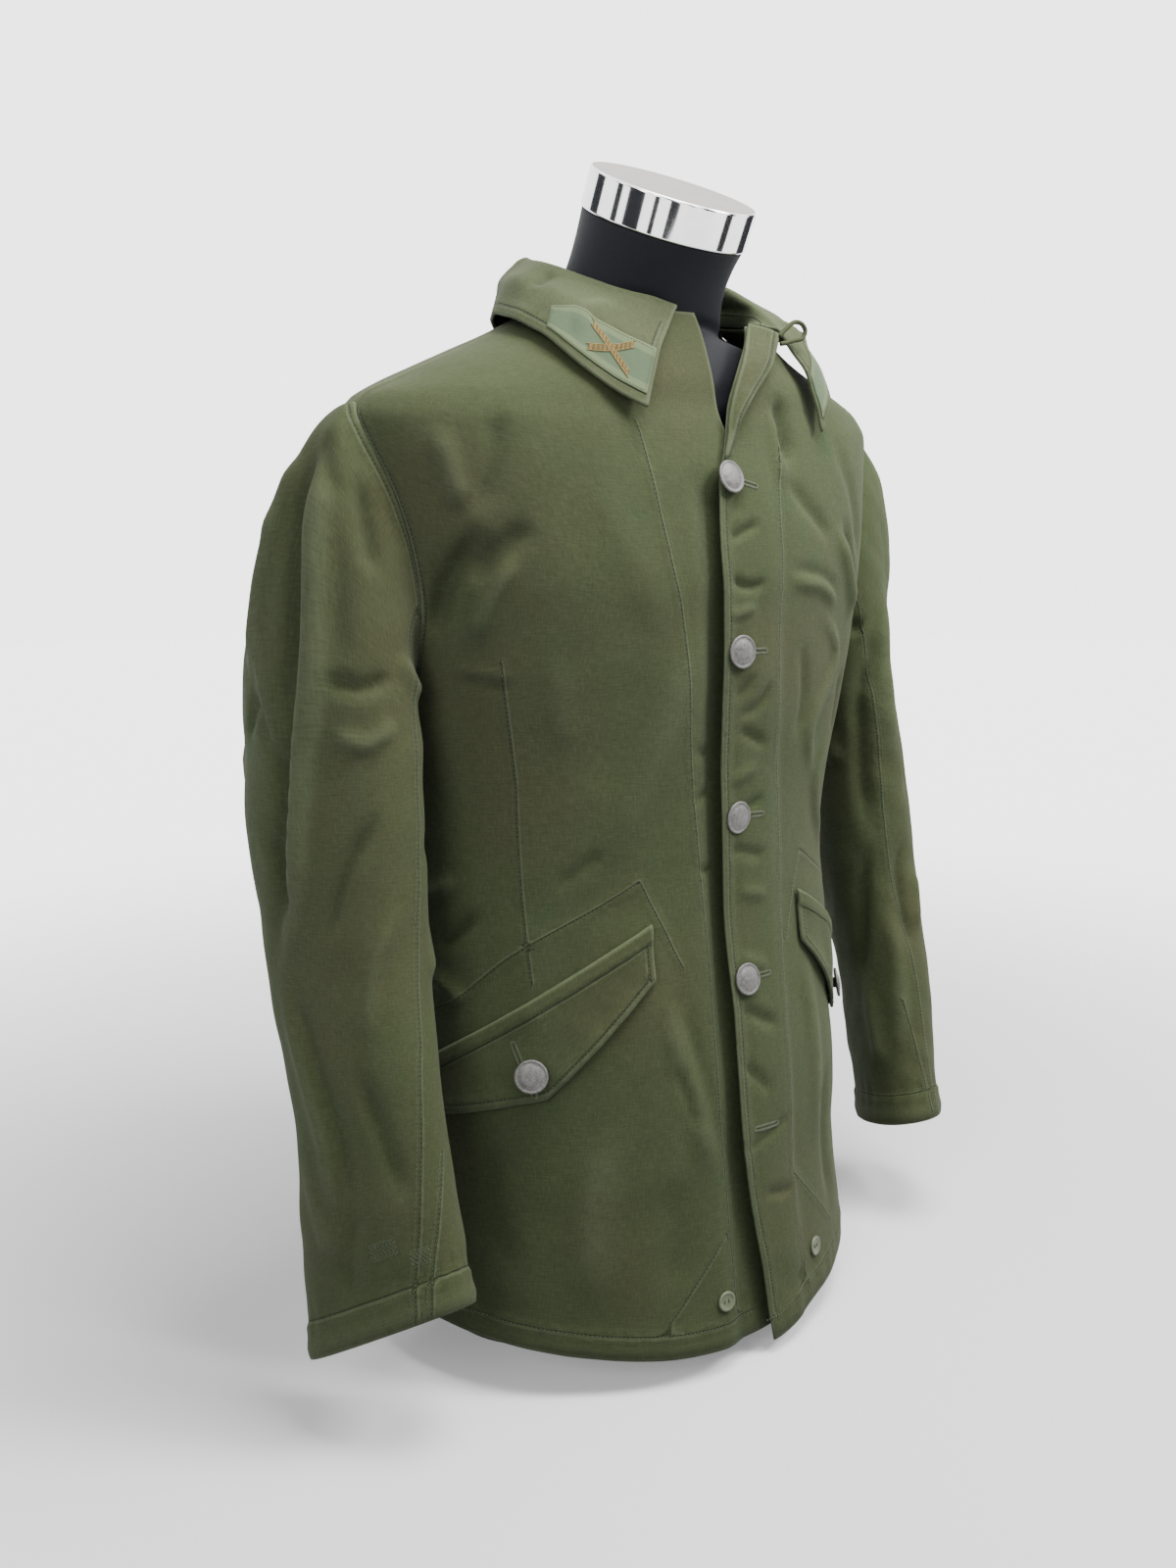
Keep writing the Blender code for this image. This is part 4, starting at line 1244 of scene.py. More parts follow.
RIGHT_FOLDS: tuple[Crease, ...] = (
    C(((-197, 506), (-191, 547), (-173, 576)), -5.5, 13), C(((-180, 500), (-172, 535), (-158, 560)), 3.0, 9),
    C(((-184, 540), (-166, 565), (-147, 577)), -3.0, 12), C(((-200, 638), (-185, 582)), 2.5, 12),
    C(((-161, 650), (-173, 601), (-185, 582)), -2.5, 12), C(((-186, 482), (-159, 476)), -1.5, 5, 0.8),
    C(((-107, 352), (-59, 462), (-50, 520)), 3.0, 22), C(((-120, 400), (-80, 490)), -2.0, 18),
    C(((-138, 343), (-107, 370)), -1.5, 7), C(((-78, 276), (-60, 200), (-45, 132)), 2.2, 12, 0.7),
    C(((-71, 223), (-56, 172)), -1.5, 5), C(((-171, 193), (-176, 139), (-170, 72)), -4.0, 20),
    C(((-118, 194), (-131, 115), (-128, 50)), 3.5, 22), C(((-75, 150), (-80, 60)), -2.5, 20),
    C(((-189, 283), (-180, 265)), 3.0, 8), C(((-187, 300), (-172, 330)), -3.0, 8),
    C(((-190, 330), (-178, 352)), 2.5, 8), C(((-45, 430), (-28, 424)), -1.2, 4),
    C(((-46, 395), (-27, 400)), -1.2, 4), C(((-44, 350), (-27, 345)), -1.2, 4),
    C(((-110, 610), (-85, 540), (-70, 500)), 1.6, 20), C(((-140, 500), (-130, 430)), 1.8, 16),
)

BACK_FOLDS: tuple[Crease, ...] = (
    C(((-165, 560), (-120, 520), (-60, 505)), 2.8, 13, 0.5),
    C(((-175, 520), (-140, 470), (-90, 440)), -3.0, 13),
    C(((168, 570), (118, 535), (70, 480)), 3.0, 14, 0.5), C(((172, 515), (150, 455), (110, 425)), -3.0, 13),
    C(((-110, 400), (-30, 385), (40, 398)), 2.2, 11, 0.5),
    C(((-40, 362), (50, 352), (120, 372)), 2.0, 10, 0.4),
    C(((-130, 335), (-60, 322), (-5, 330)), -2.0, 10), C(((-140, 250), (-148, 150), (-140, 70)), 3.2, 20),
    C(((-70, 260), (-82, 160), (-76, 60)), -3.0, 22), C(((20, 270), (10, 160), (18, 60)), 2.8, 20),
    C(((92, 280), (104, 170), (96, 60)), -2.8, 21), C(((150, 240), (158, 130), (150, 70)), 3.0, 17),
    C(((-20, 640), (-50, 600), (-95, 585)), -1.6, 12), C(((30, 645), (66, 606), (110, 592)), -1.7, 12),
)

LEFT_SEWN: tuple[Span, ...] = (
    ((48, 628), (39, 582), (37, 550), (33, 502), (34, 425), (38, 363), (33, 230), (33, 100), (44, 30)),
    ((166, 491), (157, 422), (155, 381), (152, 283)),
    ((170, 257), (136, 304), (68, 346)), ((68, 346), (42, 286)),
    ((31, 121), (90, 60)),
)

RIGHT_SEWN: tuple[Span, ...] = (
    ((-75, 640), (-71, 612), (-63, 555), (-54, 507), (-46, 409), (-37, 293), (-38, 204), (-31, 36)),
    ((-166, 491), (-157, 422), (-155, 381), (-152, 283)),
    ((-191, 257), (-156, 304), (-86, 346)), ((-86, 346), (-60, 286)),
    ((-37, 99), (-92, 38)),
)


def right_front() -> FrontPanel:
    """The wearer's right front."""
    return FrontPanel("right_front_cloth", ("right_front",), -1, RIGHT_FOLDS, RIGHT_SEWN, edge=RIGHT_EDGE)


def left_front() -> FrontPanel:
    """The wearer's left front, on top."""
    folds = PLACKET_FOLDS + LEFT_FOLDS
    return FrontPanel(
        "left_front_cloth", ("left_front",), 1, folds, LEFT_SEWN, 0.75, 5, False, edge=LEFT_EDGE,
        neck=NECK_LEFT
    )


def back_panel() -> BackPanel:
    """The back."""
    return BackPanel("back_cloth", ("back",), 0, BACK_FOLDS, (), 0.9, 11)


# ---------------------------------------------------------------- sleeves


@dataclass
class Sleeve:
    """One sleeve, worn and hanging: a curved head from the armhole, then a bent tube down to its cuff.

    Its own coordinates are the turn round it in degrees (0 faces the body, 90 the front) and the row down it:
    0 is the armhole, 6 the end of the head, 15 the cuff.
    """

    label: str
    side: int
    creases: tuple[Crease, ...]
    front_seam: Span
    second_seam: Span
    tilt: float
    drop: float
    seed: int
    table: tuple[tuple[float, ...], ...] = (
        (440, 238, 17, 41, 70, 8), (400, 244, 7, 40, 66, 12), (350, 247, -4, 40, 60, 16),
        (300, 250, -15, 39, 55, 20), (250, 253, -30, 35, 51, 25), (200, 254, -44, 32, 48, 30),
        (150, 255, -51, 31, 50, 33), (110, 255, -59, 29, 52, 35), (78, 255, -65, 28, 52, 35),
    )
    power: float = 2.3
    elbow: float = 330.0
    head: float = 6.0
    last: float = 15.0
    cuff_row: float = 14.42

    def ring(self, turn: Array, height: Array) -> Array:
        """Section at a height: a superellipse turned about the vertical, tipped towards the cuff."""
        rows = np.array(self.table)
        across = -smooth(rows, 3, height) * signed_power(np.cos(turn), 2.0 / self.power)
        along = -smooth(rows, 4, height) * signed_power(np.sin(turn), 2.0 / self.power)
        swing = np.radians(smooth(rows, 5, height))
        x = smooth(rows, 1, height) + across * np.cos(swing) + along * np.sin(swing)
        back = along * np.cos(swing) - across * np.sin(swing)
        fall = ease((self.elbow - height) / (self.elbow - rows[-1, 0]))
        return np.stack(
            [x, smooth(rows, 2, height) + back, height - fall * (self.drop + self.tilt * back)], axis=-1
        )

    def armhole(self, turn: Array) -> Array:
        """Edge of the armhole at a turn, x measured outwards."""
        height = ARMPIT + (SHOULDER - ARMPIT) * (1 - np.cos(turn)) / 2
        behind = turn > math.pi
        reach = np.where(behind, armhole_angle(height, True), armhole_angle(height, False))
        return BODY.point(np.where(behind, math.pi - reach, reach) * self.side, height) * (self.side, 1, 1)

    def point(self, degrees: Array, row: Array) -> Array:
        """Point of the uncreased sleeve: the head is a cubic from the armhole's edge to the first section."""
        degrees, row = np.broadcast_arrays(np.asarray(degrees, float), np.asarray(row, float))
        turn = np.mod(np.radians(degrees), 2 * math.pi)
        top, cuff = self.table[0][0], self.table[-1][0]
        start = self.armhole(turn)
        end = self.ring(turn, np.full(turn.shape, float(top)))
        span = np.linalg.norm(end - start, axis=-1, keepdims=True)
        high = ((1 - np.cos(turn)) / 2)[..., None]
        sine = np.sin(turn)[..., None]
        leave = unit(
            np.concatenate([0.55 + 0.45 * high, -0.25 * sine * (1 - 0.4 * high), -0.55 + 0.45 * high], -1)
        )
        start = start + leave * (SEAM + CLOTH * (1.5 - 0.5 * high)) * 0.55
        full = 0.75 + (0.60 - 0.75) * high
        arrive = unit(np.array([0.05, -0.2, -1.0]))
        t = np.clip(row / self.head, 0, 1)[..., None]
        head = (1 + 2 * t) * (1 - t) ** 2 * start + t * (1 - t) ** 2 * leave * span * full
        head = head + t * t * (3 - 2 * t) * end + t * t * (t - 1) * arrive * span * 1.1
        share = np.clip((row - self.head) / (self.last - self.head), 0, 1)
        low = self.ring(turn, top - share * (top - cuff))
        return np.where(row[..., None] < self.head, head, low) * (self.side, 1, 1)

    def bare(self, degrees: Array, row: Array) -> tuple[Array, Array]:
        """Point and outward normal of the uncreased sleeve."""
        round_it = self.point(degrees + 2.0, row) - self.point(degrees - 2.0, row)
        down = self.point(
            degrees, np.minimum(row + 0.06, 15.0)
        ) - self.point(degrees, np.maximum(row - 0.06, 0.0))
        return self.point(degrees, row), unit(np.cross(round_it, down)) * -self.side

    def relief(self, degrees: Array, row: Array, near: bool = True) -> Array:
        """Folds, rumples, the turned-up cuff and fullness gathered below the head."""
        degrees, row = np.broadcast_arrays(np.asarray(degrees, float), np.asarray(row, float))
        points, normals = self.bare(degrees.ravel(), row.ravel())
        folds = crease_field(points, normals, self.creases, self.point)
        loose = rumple(points, 80, self.seed, (1, 1, 0.7)) * 1.1 + rumple(points, 30, self.seed + 5) * 0.32
        total = (folds + loose).reshape(row.shape)
        total = total * ease(row / 0.7) * (1 - 0.75 * ease((row - 14.0) / 0.3))
        band = ease((row - self.cuff_row) / 0.05) * 1.7
        roll = 1.5 * np.exp(-(((row - 14.85) / 0.15) ** 2))
        pucker = (
            0.45 * np.sin(degrees * 0.33 + 2.2 * np.sin(degrees * 0.05))
            * np.exp(-(((row - 14.4) / 0.3) ** 2))
        )
        return total + band + roll + pucker

    def surface(self, degrees: Array, row: Array, out: float = 0.0) -> tuple[Array, Array]:
        """Points on the creased sleeve, out beyond its middle, and the normals there."""
        points, normals = self.bare(degrees, row)
        return points + normals * (self.relief(degrees, row) + out)[..., None], normals

    def lines(self) -> list[Array]:
        """Sewn lines as places in turn and row: both long seams, the cuff's stitching and the armhole's."""
        found = []
        for span in (self.front_seam, self.second_seam):
            fine = resample(np.array(span, float), 200)
            found += [fine, fine + np.array([4.0, 0.0])]
        row = np.linspace(0.3, 14.9, 220)
        found.append(np.stack([np.full(220, 284.0), row], axis=1))
        turn = np.linspace(0, 360, 260)
        found.append(np.stack([turn, np.full(260, self.cuff_row)], axis=1))
        found.append(np.stack([turn, 0.12 + 0.06 * (1 - np.cos(np.radians(turn)))], axis=1))
        return found

    def build(self, finishes: Finishes) -> list[bpy.types.Object]:
        """Makes the sleeve and its stitching.

        Args:
            finishes: the materials to dress it with.

        Returns:
            The pieces made.
        """
        rows = np.concatenate([np.linspace(0, 6, 52, endpoint=False), np.linspace(6, 15, 112)])[::-1]
        turns = np.linspace(0, 360, 112, endpoint=False)
        if self.side < 0:
            turns = turns[::-1]
        degrees, row = np.meshgrid(turns, rows)
        points, normals = self.bare(degrees, row)
        relief = self.relief(degrees, row)
        kept = [line for k, line in enumerate(self.lines()) if k not in (1, 3)]
        seam = seam_distance(points, normals, [self.point(line[:, 0], line[:, 1]) for line in kept])
        mid = points + normals * relief[..., None]
        edge = np.minimum(rim_distance(points, True), 30.0)
        values = values_of(Look.of(relief), edge, seam)
        cloth = make_object(f"{self.label}_sleeve_cloth", shell(mid, CLOTH, values, True), finishes.cloth)
        runs = []
        for line in self.lines():
            spots, outs = self.surface(line[:, 0], line[:, 1], CLOTH / 2 - 0.15)
            runs.append(stitches(spots, outs, STITCH_PITCH, STITCH_LENGTH, THREAD_RADIUS))
        thread = make_object(f"{self.label}_sleeve_stitching", joined(runs), finishes.thread)
        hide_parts(f"{self.label}_top_sleeve", f"{self.label}_under_sleeve")
        flat, area = flat_size(np.concatenate([mid, mid[:, :1]], axis=1))
        return [cloth, thread]


def right_sleeve() -> Sleeve:
    """The wearer's right sleeve: one long ridge over the elbow, folds gathered beside it."""
    folds = (
        C(((196, 9.8), (183, 8.6), (174, 7.4), (165, 6.3), (154, 4.8), (151, 3.4), (153, 2.5), (151, 1.3),
           (172, 0.2)), 6.4, 14, 0.9),
        C(((172, 1.6), (177, 2.8), (172, 4.4), (181, 6.0)), -4.5, 11),
        C(((136, 2.4), (134, 3.6), (136, 4.8)), -2.0, 13),
        C(((196, 2.4), (201, 4.0), (198, 5.2)), 3.6, 10),
        C(((204, 9.4), (196, 11.4), (190, 13.6)), 3.0, 11, 0.7),
        C(((195, 5.1), (181, 6.2), (177, 7.2)), -3.2, 8), C(((196, 7.2), (187, 8.0), (186, 8.8)), -3.2, 8),
        C(((148, 4.8), (120, 4.8), (90, 4.1)), -3.0, 8), C(((144, 5.6), (118, 5.8), (92, 5.2)), 2.6, 8),
        C(((211, 6.0), (193, 5.2)), -2.8, 8), C(((198, 3.8), (189, 5.1), (178, 6.4)), 2.2, 8),
        C(((196, 1.6), (199, 3.2)), 2.6, 11), C(((166, 1.0), (138, 2.1)), -2.6, 8),
        C(((130, 0.8), (105, 2.5)), -3.0, 10), C(((110, 6.8), (140, 7.6), (165, 9.0)), -2.8, 9),
        C(((100, 8.2), (130, 9.2), (150, 10.6)), 2.4, 9), C(((219, 12.1), (195, 13.8)), 2.2, 10),
        C(((178, 12.9), (196, 14.6)), -2.0, 8), C(((160, 10.6), (150, 12.2), (140, 13.2)), -2.2, 9),
        C(((230, 3.0), (250, 4.4), (275, 5.0)), -3.0, 11), C(((240, 6.0), (262, 7.0), (285, 7.0)), 2.6, 10),
        C(((235, 8.4), (260, 9.0), (290, 8.6)), -2.6, 10), C(((20, 6.4), (45, 7.4), (70, 7.6)), -2.8, 10),
        C(((30, 8.6), (52, 9.4), (80, 9.4)), 2.4, 10), C(((330, 7.0), (350, 8.0), (372, 8.0)), -2.6, 9),
        C(((45, 2.6), (66, 3.6), (88, 3.4)), 2.4, 10), C(((325, 10.4), (340, 12.0), (338, 13.4)), 2.2, 10),
    )
    front = (
        (70, 0.3), (72, 3.0), (76, 5.6), (79, 7.4), (96, 10.2), (108, 11.1), (132, 13.2), (147, 14.2),
        (151, 14.9)
    )
    return Sleeve(
        "right", -1, folds, front, ((94, 12.4), (117, 13.5), (132, 14.2), (139, 14.9)), 0.62, 8.0, 21
    )


def left_sleeve() -> Sleeve:
    """The wearer's left sleeve, seen from its front."""
    folds = (
        C(((91, 3.6), (66, 6.0), (63, 7.8), (73, 9.1)), -3.6, 11),
        C(((110, 3.0), (96, 5.2), (92, 7.6)), 3.6, 12),
        C(((36, 11.8), (52, 14.0)), 2.6, 10), C(((67, 9.0), (45, 10.6), (27, 12.2)), -3.2, 11),
        C(((79, 10.2), (84, 12.0), (78, 13.8)), 3.0, 12), C(((103, 4.2), (123, 6.6), (120, 8.4)), -3.0, 9),
        C(((112, 8.8), (96, 9.8), (100, 11.6)), -2.6, 9), C(((128, 9.6), (118, 11.0)), 2.4, 9),
        C(((170, 0.8), (146, 2.4), (140, 4.4)), 4.0, 13), C(((196, 2.2), (182, 4.0), (176, 5.6)), -3.8, 12),
        C(((150, 5.8), (166, 7.2), (184, 8.8)), 3.6, 11), C(((200, 6.0), (188, 7.2), (180, 8.2)), -3.0, 9),
        C(((150, 7.6), (172, 9.0), (196, 10.2)), -2.8, 9), C(((232, 3.0), (252, 4.4), (278, 4.8)), -3.0, 11),
        C(((240, 6.2), (264, 7.0), (288, 7.2)), 2.6, 10), C(((214, 8.4), (238, 9.2), (262, 8.8)), -2.6, 10),
        C(((214, 11.6), (200, 13.4)), 2.2, 10), C(((176, 11.8), (188, 13.6)), -2.2, 10),
        C(((60, 2.2), (78, 3.4)), -2.6, 9), C(((20, 6.4), (40, 7.6)), 2.4, 9),
        C(((330, 7.0), (352, 8.2)), -2.6, 9),
    )
    front = (
        (72, 0.3), (74, 3.0), (78, 5.6), (80, 7.4), (90, 10.2), (97, 11.1), (112, 13.2), (120, 14.2),
        (122, 14.9)
    )
    return Sleeve("left", 1, folds, front, ((84, 12.4), (97, 13.5), (106, 14.2), (110, 14.9)), 0.32, 0.0, 37)


# ---------------------------------------------------------------- collar, patches, lapel, loop


@dataclass
class Collar:
    """A faced strip folded over along the neck: stand, fold and leaf, from the right end round to the left.

    Each table row gives the angle round the neck, the fold and the leaf's edge.
    """

    right: tuple[tuple[float, ...], ...] = (
        (0.28, -16, -66, 718, -73, -100, 649), (0.62, -41, -56, 726, -91, -87, 661),
        (1.05, -63, -37, 734, -110, -72, 679), (1.30, -73, -20, 741, -118, -48, 696),
        (1.57, -78, -2, 747, -118, -9, 710), (2.15, -62, 34, 755, -91, 38, 712),
        (2.70, -34, 55, 757, -50, 78, 705), (3.14, 0, 62, 758, 0, 92, 702),
    )
    left: tuple[tuple[float, ...], ...] = (
        (3.14, 0, 62, 758, 0, 92, 702), (2.70, 34, 55, 757, 50, 78, 705), (2.15, 62, 34, 755, 93, 38, 713),
        (1.57, 83, -2, 747, 127, -12, 712), (1.15, 82, -34, 732, 129, -56, 692),
        (0.88, 80, -56, 718, 115, -85, 664), (0.78, 79, -66, 711, 98, -95, 640),
    )
    columns: int = 236
    rows: int = 56
    mid: Array = field(default_factory=lambda: np.zeros(0))
    normals: Array = field(default_factory=lambda: np.zeros(0))
    marks: Array = field(default_factory=lambda: np.zeros(0))
    relief: Array = field(default_factory=lambda: np.zeros(0))

    def profiles(self) -> Array:
        """The strip's profile at each table row: nine points from the seam, over the fold, to the edge."""
        found = []
        for side, table in ((-1, self.right[:-1]), (1, self.left)):
            for angle, *rest in table:
                low = NECK_LEFT if side > 0 and angle < math.pi / 2 else NECKLINE
                height = np.array(low + (NECKLINE - low) * (angle / (math.pi / 2)) ** 1.4)
                turn = np.array(side * angle)
                seam = BODY.point(turn, height)
                if side > 0 and angle < math.pi / 2:
                    seam = seam + BODY.normal(turn, height) * left_lift(seam[0], height)
                seam = seam + (0, 0, 2.6)
                fold, edge = np.array(rest[:3], float), np.array(rest[3:], float)
                out = unit((edge - fold) * (1, 1, 0))
                bulge = (fold + edge) / 2 + out * 6.0 + (0, 0, 5.0)
                found.append([
                    seam, seam + (fold - seam) * 0.5, fold - out * 1.5 - (0, 0, 2.0), fold + (0, 0, 0.8),
                    fold + out * 3.0 - (0, 0, 0.8), fold + (bulge - fold) * 0.55, bulge,
                    bulge + (edge - bulge) * 0.5, edge,
                ])
        return np.array(found)

    def shape(self) -> None:
        """Fills in the fine grid: evenly spaced along each profile, rounded over, then creased."""
        fine = resample(self.profiles(), self.columns)
        length = np.linalg.norm(np.diff(fine, axis=1), axis=-1)
        run = np.concatenate([np.zeros((len(fine), 1)), np.cumsum(length, axis=1)], axis=1)
        self.marks = run / run[:, -1:] * (self.rows - 1)
        even = np.arange(self.rows)
        grid = np.array([
            [np.interp(even, mark, row[:, k]) for k in range(3)] for row, mark in zip(fine, self.marks)
        ]).transpose(2, 0, 1)
        for _ in range(9):
            grid[1:-1] = grid[1:-1] * 0.5 + (grid[:-2] + grid[2:]) * 0.25
        normals = grid_normals(grid)
        share = np.clip(
            (even[:, None] - self.marks[None, :, 4]) / (self.rows - 1 - self.marks[None, :, 4]), 0, 1
        )
        waves = rumple(grid, 46, 9) * 0.9 + rumple(grid, 20, 4) * 0.3
        folds = crease_field(grid.reshape(-1, 3), normals.reshape(-1, 3), self.creases(), self.placer(grid))
        relief = waves * (0.35 + 0.65 * share) + folds.reshape(share.shape)
        self.mid = grid + normals * relief[..., None]
        self.normals = grid_normals(self.mid)
        self.relief = relief

    def creases(self) -> tuple[Crease, ...]:
        """Folds as places in columns and rows of the fine grid."""
        return (
            C(((24, 20), (34, 34), (36, 48)), 1.4, 7), C(((58, 22), (62, 40)), -1.6, 8),
            C(((88, 20), (94, 46)), 1.5, 9), C(((120, 20), (122, 48)), -1.4, 9),
            C(((150, 20), (154, 46)), 1.5, 9),
            C(((182, 22), (186, 44)), -1.5, 8), C(((206, 20), (204, 44)), 1.6, 8),
            C(((10, 8), (40, 7), (70, 9)), -1.2, 5), C(((120, 9), (180, 7), (220, 8)), -1.2, 5),
        )

    def placer(self, grid: Array) -> Place:
        """Turns a column and row into a point of a grid."""
        return lambda column, row: lookup(grid, row, column)

    def at(self, column: Array, row: Array, out: float) -> tuple[Array, Array]:
        """Point that far off the collar's middle, at a column and row of its grid, and the normal there."""
        normal = unit(lookup(self.normals, row, column))
        return lookup(self.mid, row, column) + normal * out, normal

    def lines(self) -> list[Array]:
        """Stitched lines as columns and rows: round the leaf inside its edge, and along the neck seam."""
        column = np.linspace(4, self.columns - 5, 400)
        last = self.rows - 1.0
        end = np.linspace(20, last - 4, 60)
        return [
            np.stack([column, np.full(400, last - 4)], axis=1), np.stack([np.full(60, 4.0), end], axis=1),
            np.stack([np.full(60, self.columns - 5.0), end], axis=1),
            np.stack([column, np.full(400, 4.0)], axis=1),
        ]

    def build(self, finishes: Finishes) -> list[bpy.types.Object]:
        """Makes the collar and its stitching.

        Args:
            finishes: the materials to dress it with.

        Returns:
            The pieces made.
        """
        self.shape()
        lines = [self.at(line[:, 0], line[:, 1], 0.0)[0] for line in self.lines()]
        seam = seam_distance(self.mid, self.normals, lines)
        mid = self.mid
        # Collar folds get stronger painted shade and highlight, and the whole collar is painted paler: a
        # painted highlight where the light from above falls on it.
        look = Look.of(self.relief * 1.3)
        look.wear_and_painted_highlight += 0.95
        values = values_of(look, rim_distance(self.mid), seam)
        cloth = make_object("collar_cloth", shell(mid, DOUBLE, values), finishes.cloth)
        runs = []
        for line in self.lines():
            spots, outs = self.at(line[:, 0], line[:, 1], DOUBLE / 2 - 0.1)
            runs.append(stitches(spots, outs, STITCH_PITCH, STITCH_LENGTH, THREAD_RADIUS))
        thread = make_object("collar_stitching", joined(runs), finishes.thread)
        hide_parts("collar")
        flat, area = flat_size(mid)
        return [cloth, thread]


@dataclass
class CollarPatch:
    """A woven patch sewn on one end of the collar's leaf, cut off at its rear upper corner."""

    label: str
    side: int
    motif: bool
    reach: tuple[tuple[float, float], ...] = ((0.10, 0.88), (2.35, 0.88), (3.0, 0.55))
    low: float = 7.68
    bulge: float = 6.0
    thick: float = 0.8

    def place(self, collar: Collar, along: Array, share: Array) -> tuple[Array, Array]:
        """Column and row of the collar for a place along the patch and a share of its full height."""
        ends = 14.0 - along if self.side > 0 else along
        column = ends / 14.0 * (collar.columns - 1)
        mark = self.low + (self.bulge - self.low) * share
        near = np.clip(np.round(column).astype(int), 0, collar.columns - 1)
        flat = [np.interp(m, np.arange(9), collar.marks[n]) for m, n in zip(mark.ravel(), near.ravel())]
        return column, np.array(flat).reshape(column.shape)

    def build(self, collar: Collar, finishes: Finishes) -> list[bpy.types.Object]:
        """Makes the patch, its border stitching and the plain crossed bars worked on it."""
        along, up = np.meshgrid(np.linspace(0.10, 3.0, 90), np.linspace(0, 1, 34))
        table = np.array(self.reach)
        top = np.interp(along, table[:, 0], table[:, 1])
        column, row = self.place(collar, along, up * top)
        off = DOUBLE / 2 + self.thick / 2 + 0.12
        mid, _ = collar.at(column, row, off)
        if self.side < 0:
            mid = mid[:, ::-1]
        share = np.broadcast_to(up, along.shape)
        values = {"band": share}
        patch = make_object(
            f"{self.label}_collar_patch_cloth", shell(mid, self.thick, values), finishes.patch
        )
        edge = 0.04
        border = np.concatenate([
            np.stack([np.linspace(0.16, 2.94, 160), np.full(160, edge)], axis=1),
            np.stack([np.full(30, 2.94), np.linspace(edge, 1 - edge, 30)], axis=1),
            np.stack([np.linspace(2.94, 0.16, 160), np.full(160, 1 - edge)], axis=1),
            np.stack([np.full(30, 0.16), np.linspace(1 - edge, edge, 30)], axis=1),
        ])
        reach = np.interp(border[:, 0], table[:, 0], table[:, 1])
        spots, outs = collar.at(*self.place(collar, border[:, 0], border[:, 1] * reach), off + self.thick / 2)
        thread = make_object(
            f"{self.label}_collar_patch_stitching", stitches(spots, outs, 1.9, 1.4, 0.22), finishes.thread
        )
        made = [patch, thread]
        if self.motif:
            made.append(self.bars(collar, off + self.thick / 2, finishes))
        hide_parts(f"{self.label}_collar_patch")
        flat, area = flat_size(mid)
        return made

    def bars(self, collar: Collar, off: float, finishes: Finishes) -> bpy.types.Object:
        """Two plain crossing bars of satin stitches, each with a corded outline."""
        runs = []
        for rise in (0.30, -0.30):
            for k in np.linspace(-0.8, 0.8, 5):
                t = np.linspace(-1, 1, 60)
                along = 1.30 + 0.60 * t
                spots, outs = collar.at(*self.place(collar, along, 0.47 + rise * t + 0.055 * k), off)
                runs.append(stitches(spots, outs, 3.2, 3.4, 0.32, 0.25 * (1 - abs(k))))
            for k in (-1.2, 1.2):
                t = np.linspace(-1.02, 1.02, 60)
                spots, outs = collar.at(
                    *self.place(collar, 1.30 + 0.60 * t, 0.47 + rise * t + 0.055 * k), off
                )
                runs.append(stitches(spots, outs, 1.5, 2.0, 0.36, 0.1))
        return make_object(f"{self.label}_collar_motif", joined(runs), finishes.gold)


@dataclass
class Lapel:
    """The turned-back top of the left front: a faced wedge from the roll line to its piped free edge."""

    table: tuple[tuple[float, ...], ...] = (
        (632, 1, -104, 633), (646, 10, -103, 648), (664, 28, -98, 665), (682, 50, -90, 682),
        (706, 70, -77, 705),
    )

    def build(self, finishes: Finishes) -> list[bpy.types.Object]:
        """Makes the wedge, its piping and its stitching.

        Args:
            finishes: the materials to dress it with.

        Returns:
            The pieces made.
        """
        rows = []
        foot = BODY.point(BODY.angle_of(smooth(LEFT_EDGE, 1, 618.0), 618.0), np.array(618.0))
        foot = foot + BODY.normal(
            BODY.angle_of(foot[0], 618.0), 618.0
        ) * (CLOTH * 1.5 + SEAM * 4 + DOUBLE / 2)
        rows.append([foot + np.array([0.4, 0, 0.2]) * k for k in range(4)])
        for height, x, y, z in self.table:
            angle = BODY.angle_of(smooth(LEFT_EDGE, 1, height), height)
            roll = BODY.point(angle, height)
            out = left_lift(roll[..., 0], height) + CLOTH / 2 + SEAM * 3 + DOUBLE / 2
            roll = roll + BODY.normal(angle, height) * out
            free = np.array([x, y, z], float)
            rows.append([roll + (free - roll) * t for t in np.linspace(0, 1, 4)])
        fine = resample(np.array(rows), 64)
        grid = np.stack([resample(row, 26) for row in fine])
        normals = grid_normals(grid)
        share = np.linspace(0, 1, 26)[None, :]
        relief = rumple(grid, 30, 3) * 0.7 * share + 1.0 * np.sin(math.pi * share)
        mid = grid + normals * relief[..., None]
        seam = seam_distance(mid, normals, [mid[:, 21]])
        values = values_of(Look.of(relief), rim_distance(grid), seam)
        cloth = make_object("left_lapel_cloth", shell(mid, DOUBLE, values), finishes.cloth)
        runs = [stitches(mid[:, 21] + normals[:, 21] * DOUBLE * 0.5, normals[:, 21], 2.9, 2.0, THREAD_RADIUS)]
        thread = make_object("left_lapel_stitching", joined(runs), finishes.thread)
        piping = tube(mid[2:-1, -1], 1.25, 10)
        piping.values = {key: np.full(len(piping.points), value) for key, value in PALE.items()}
        cord = make_object("left_lapel_piping", piping, finishes.cloth)
        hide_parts("left_lapel")
        flat, area = flat_size(mid)
        return [cloth, thread, cord]


# Piping and loop are painted as pale as a worn, highlighted ridge, with no painted shade.
PALE = {"wear_and_painted_highlight": 0.75, "painted_crease_shade": 0.0, "edge": 9.0, "seam": 12.0, "side": 12.0}


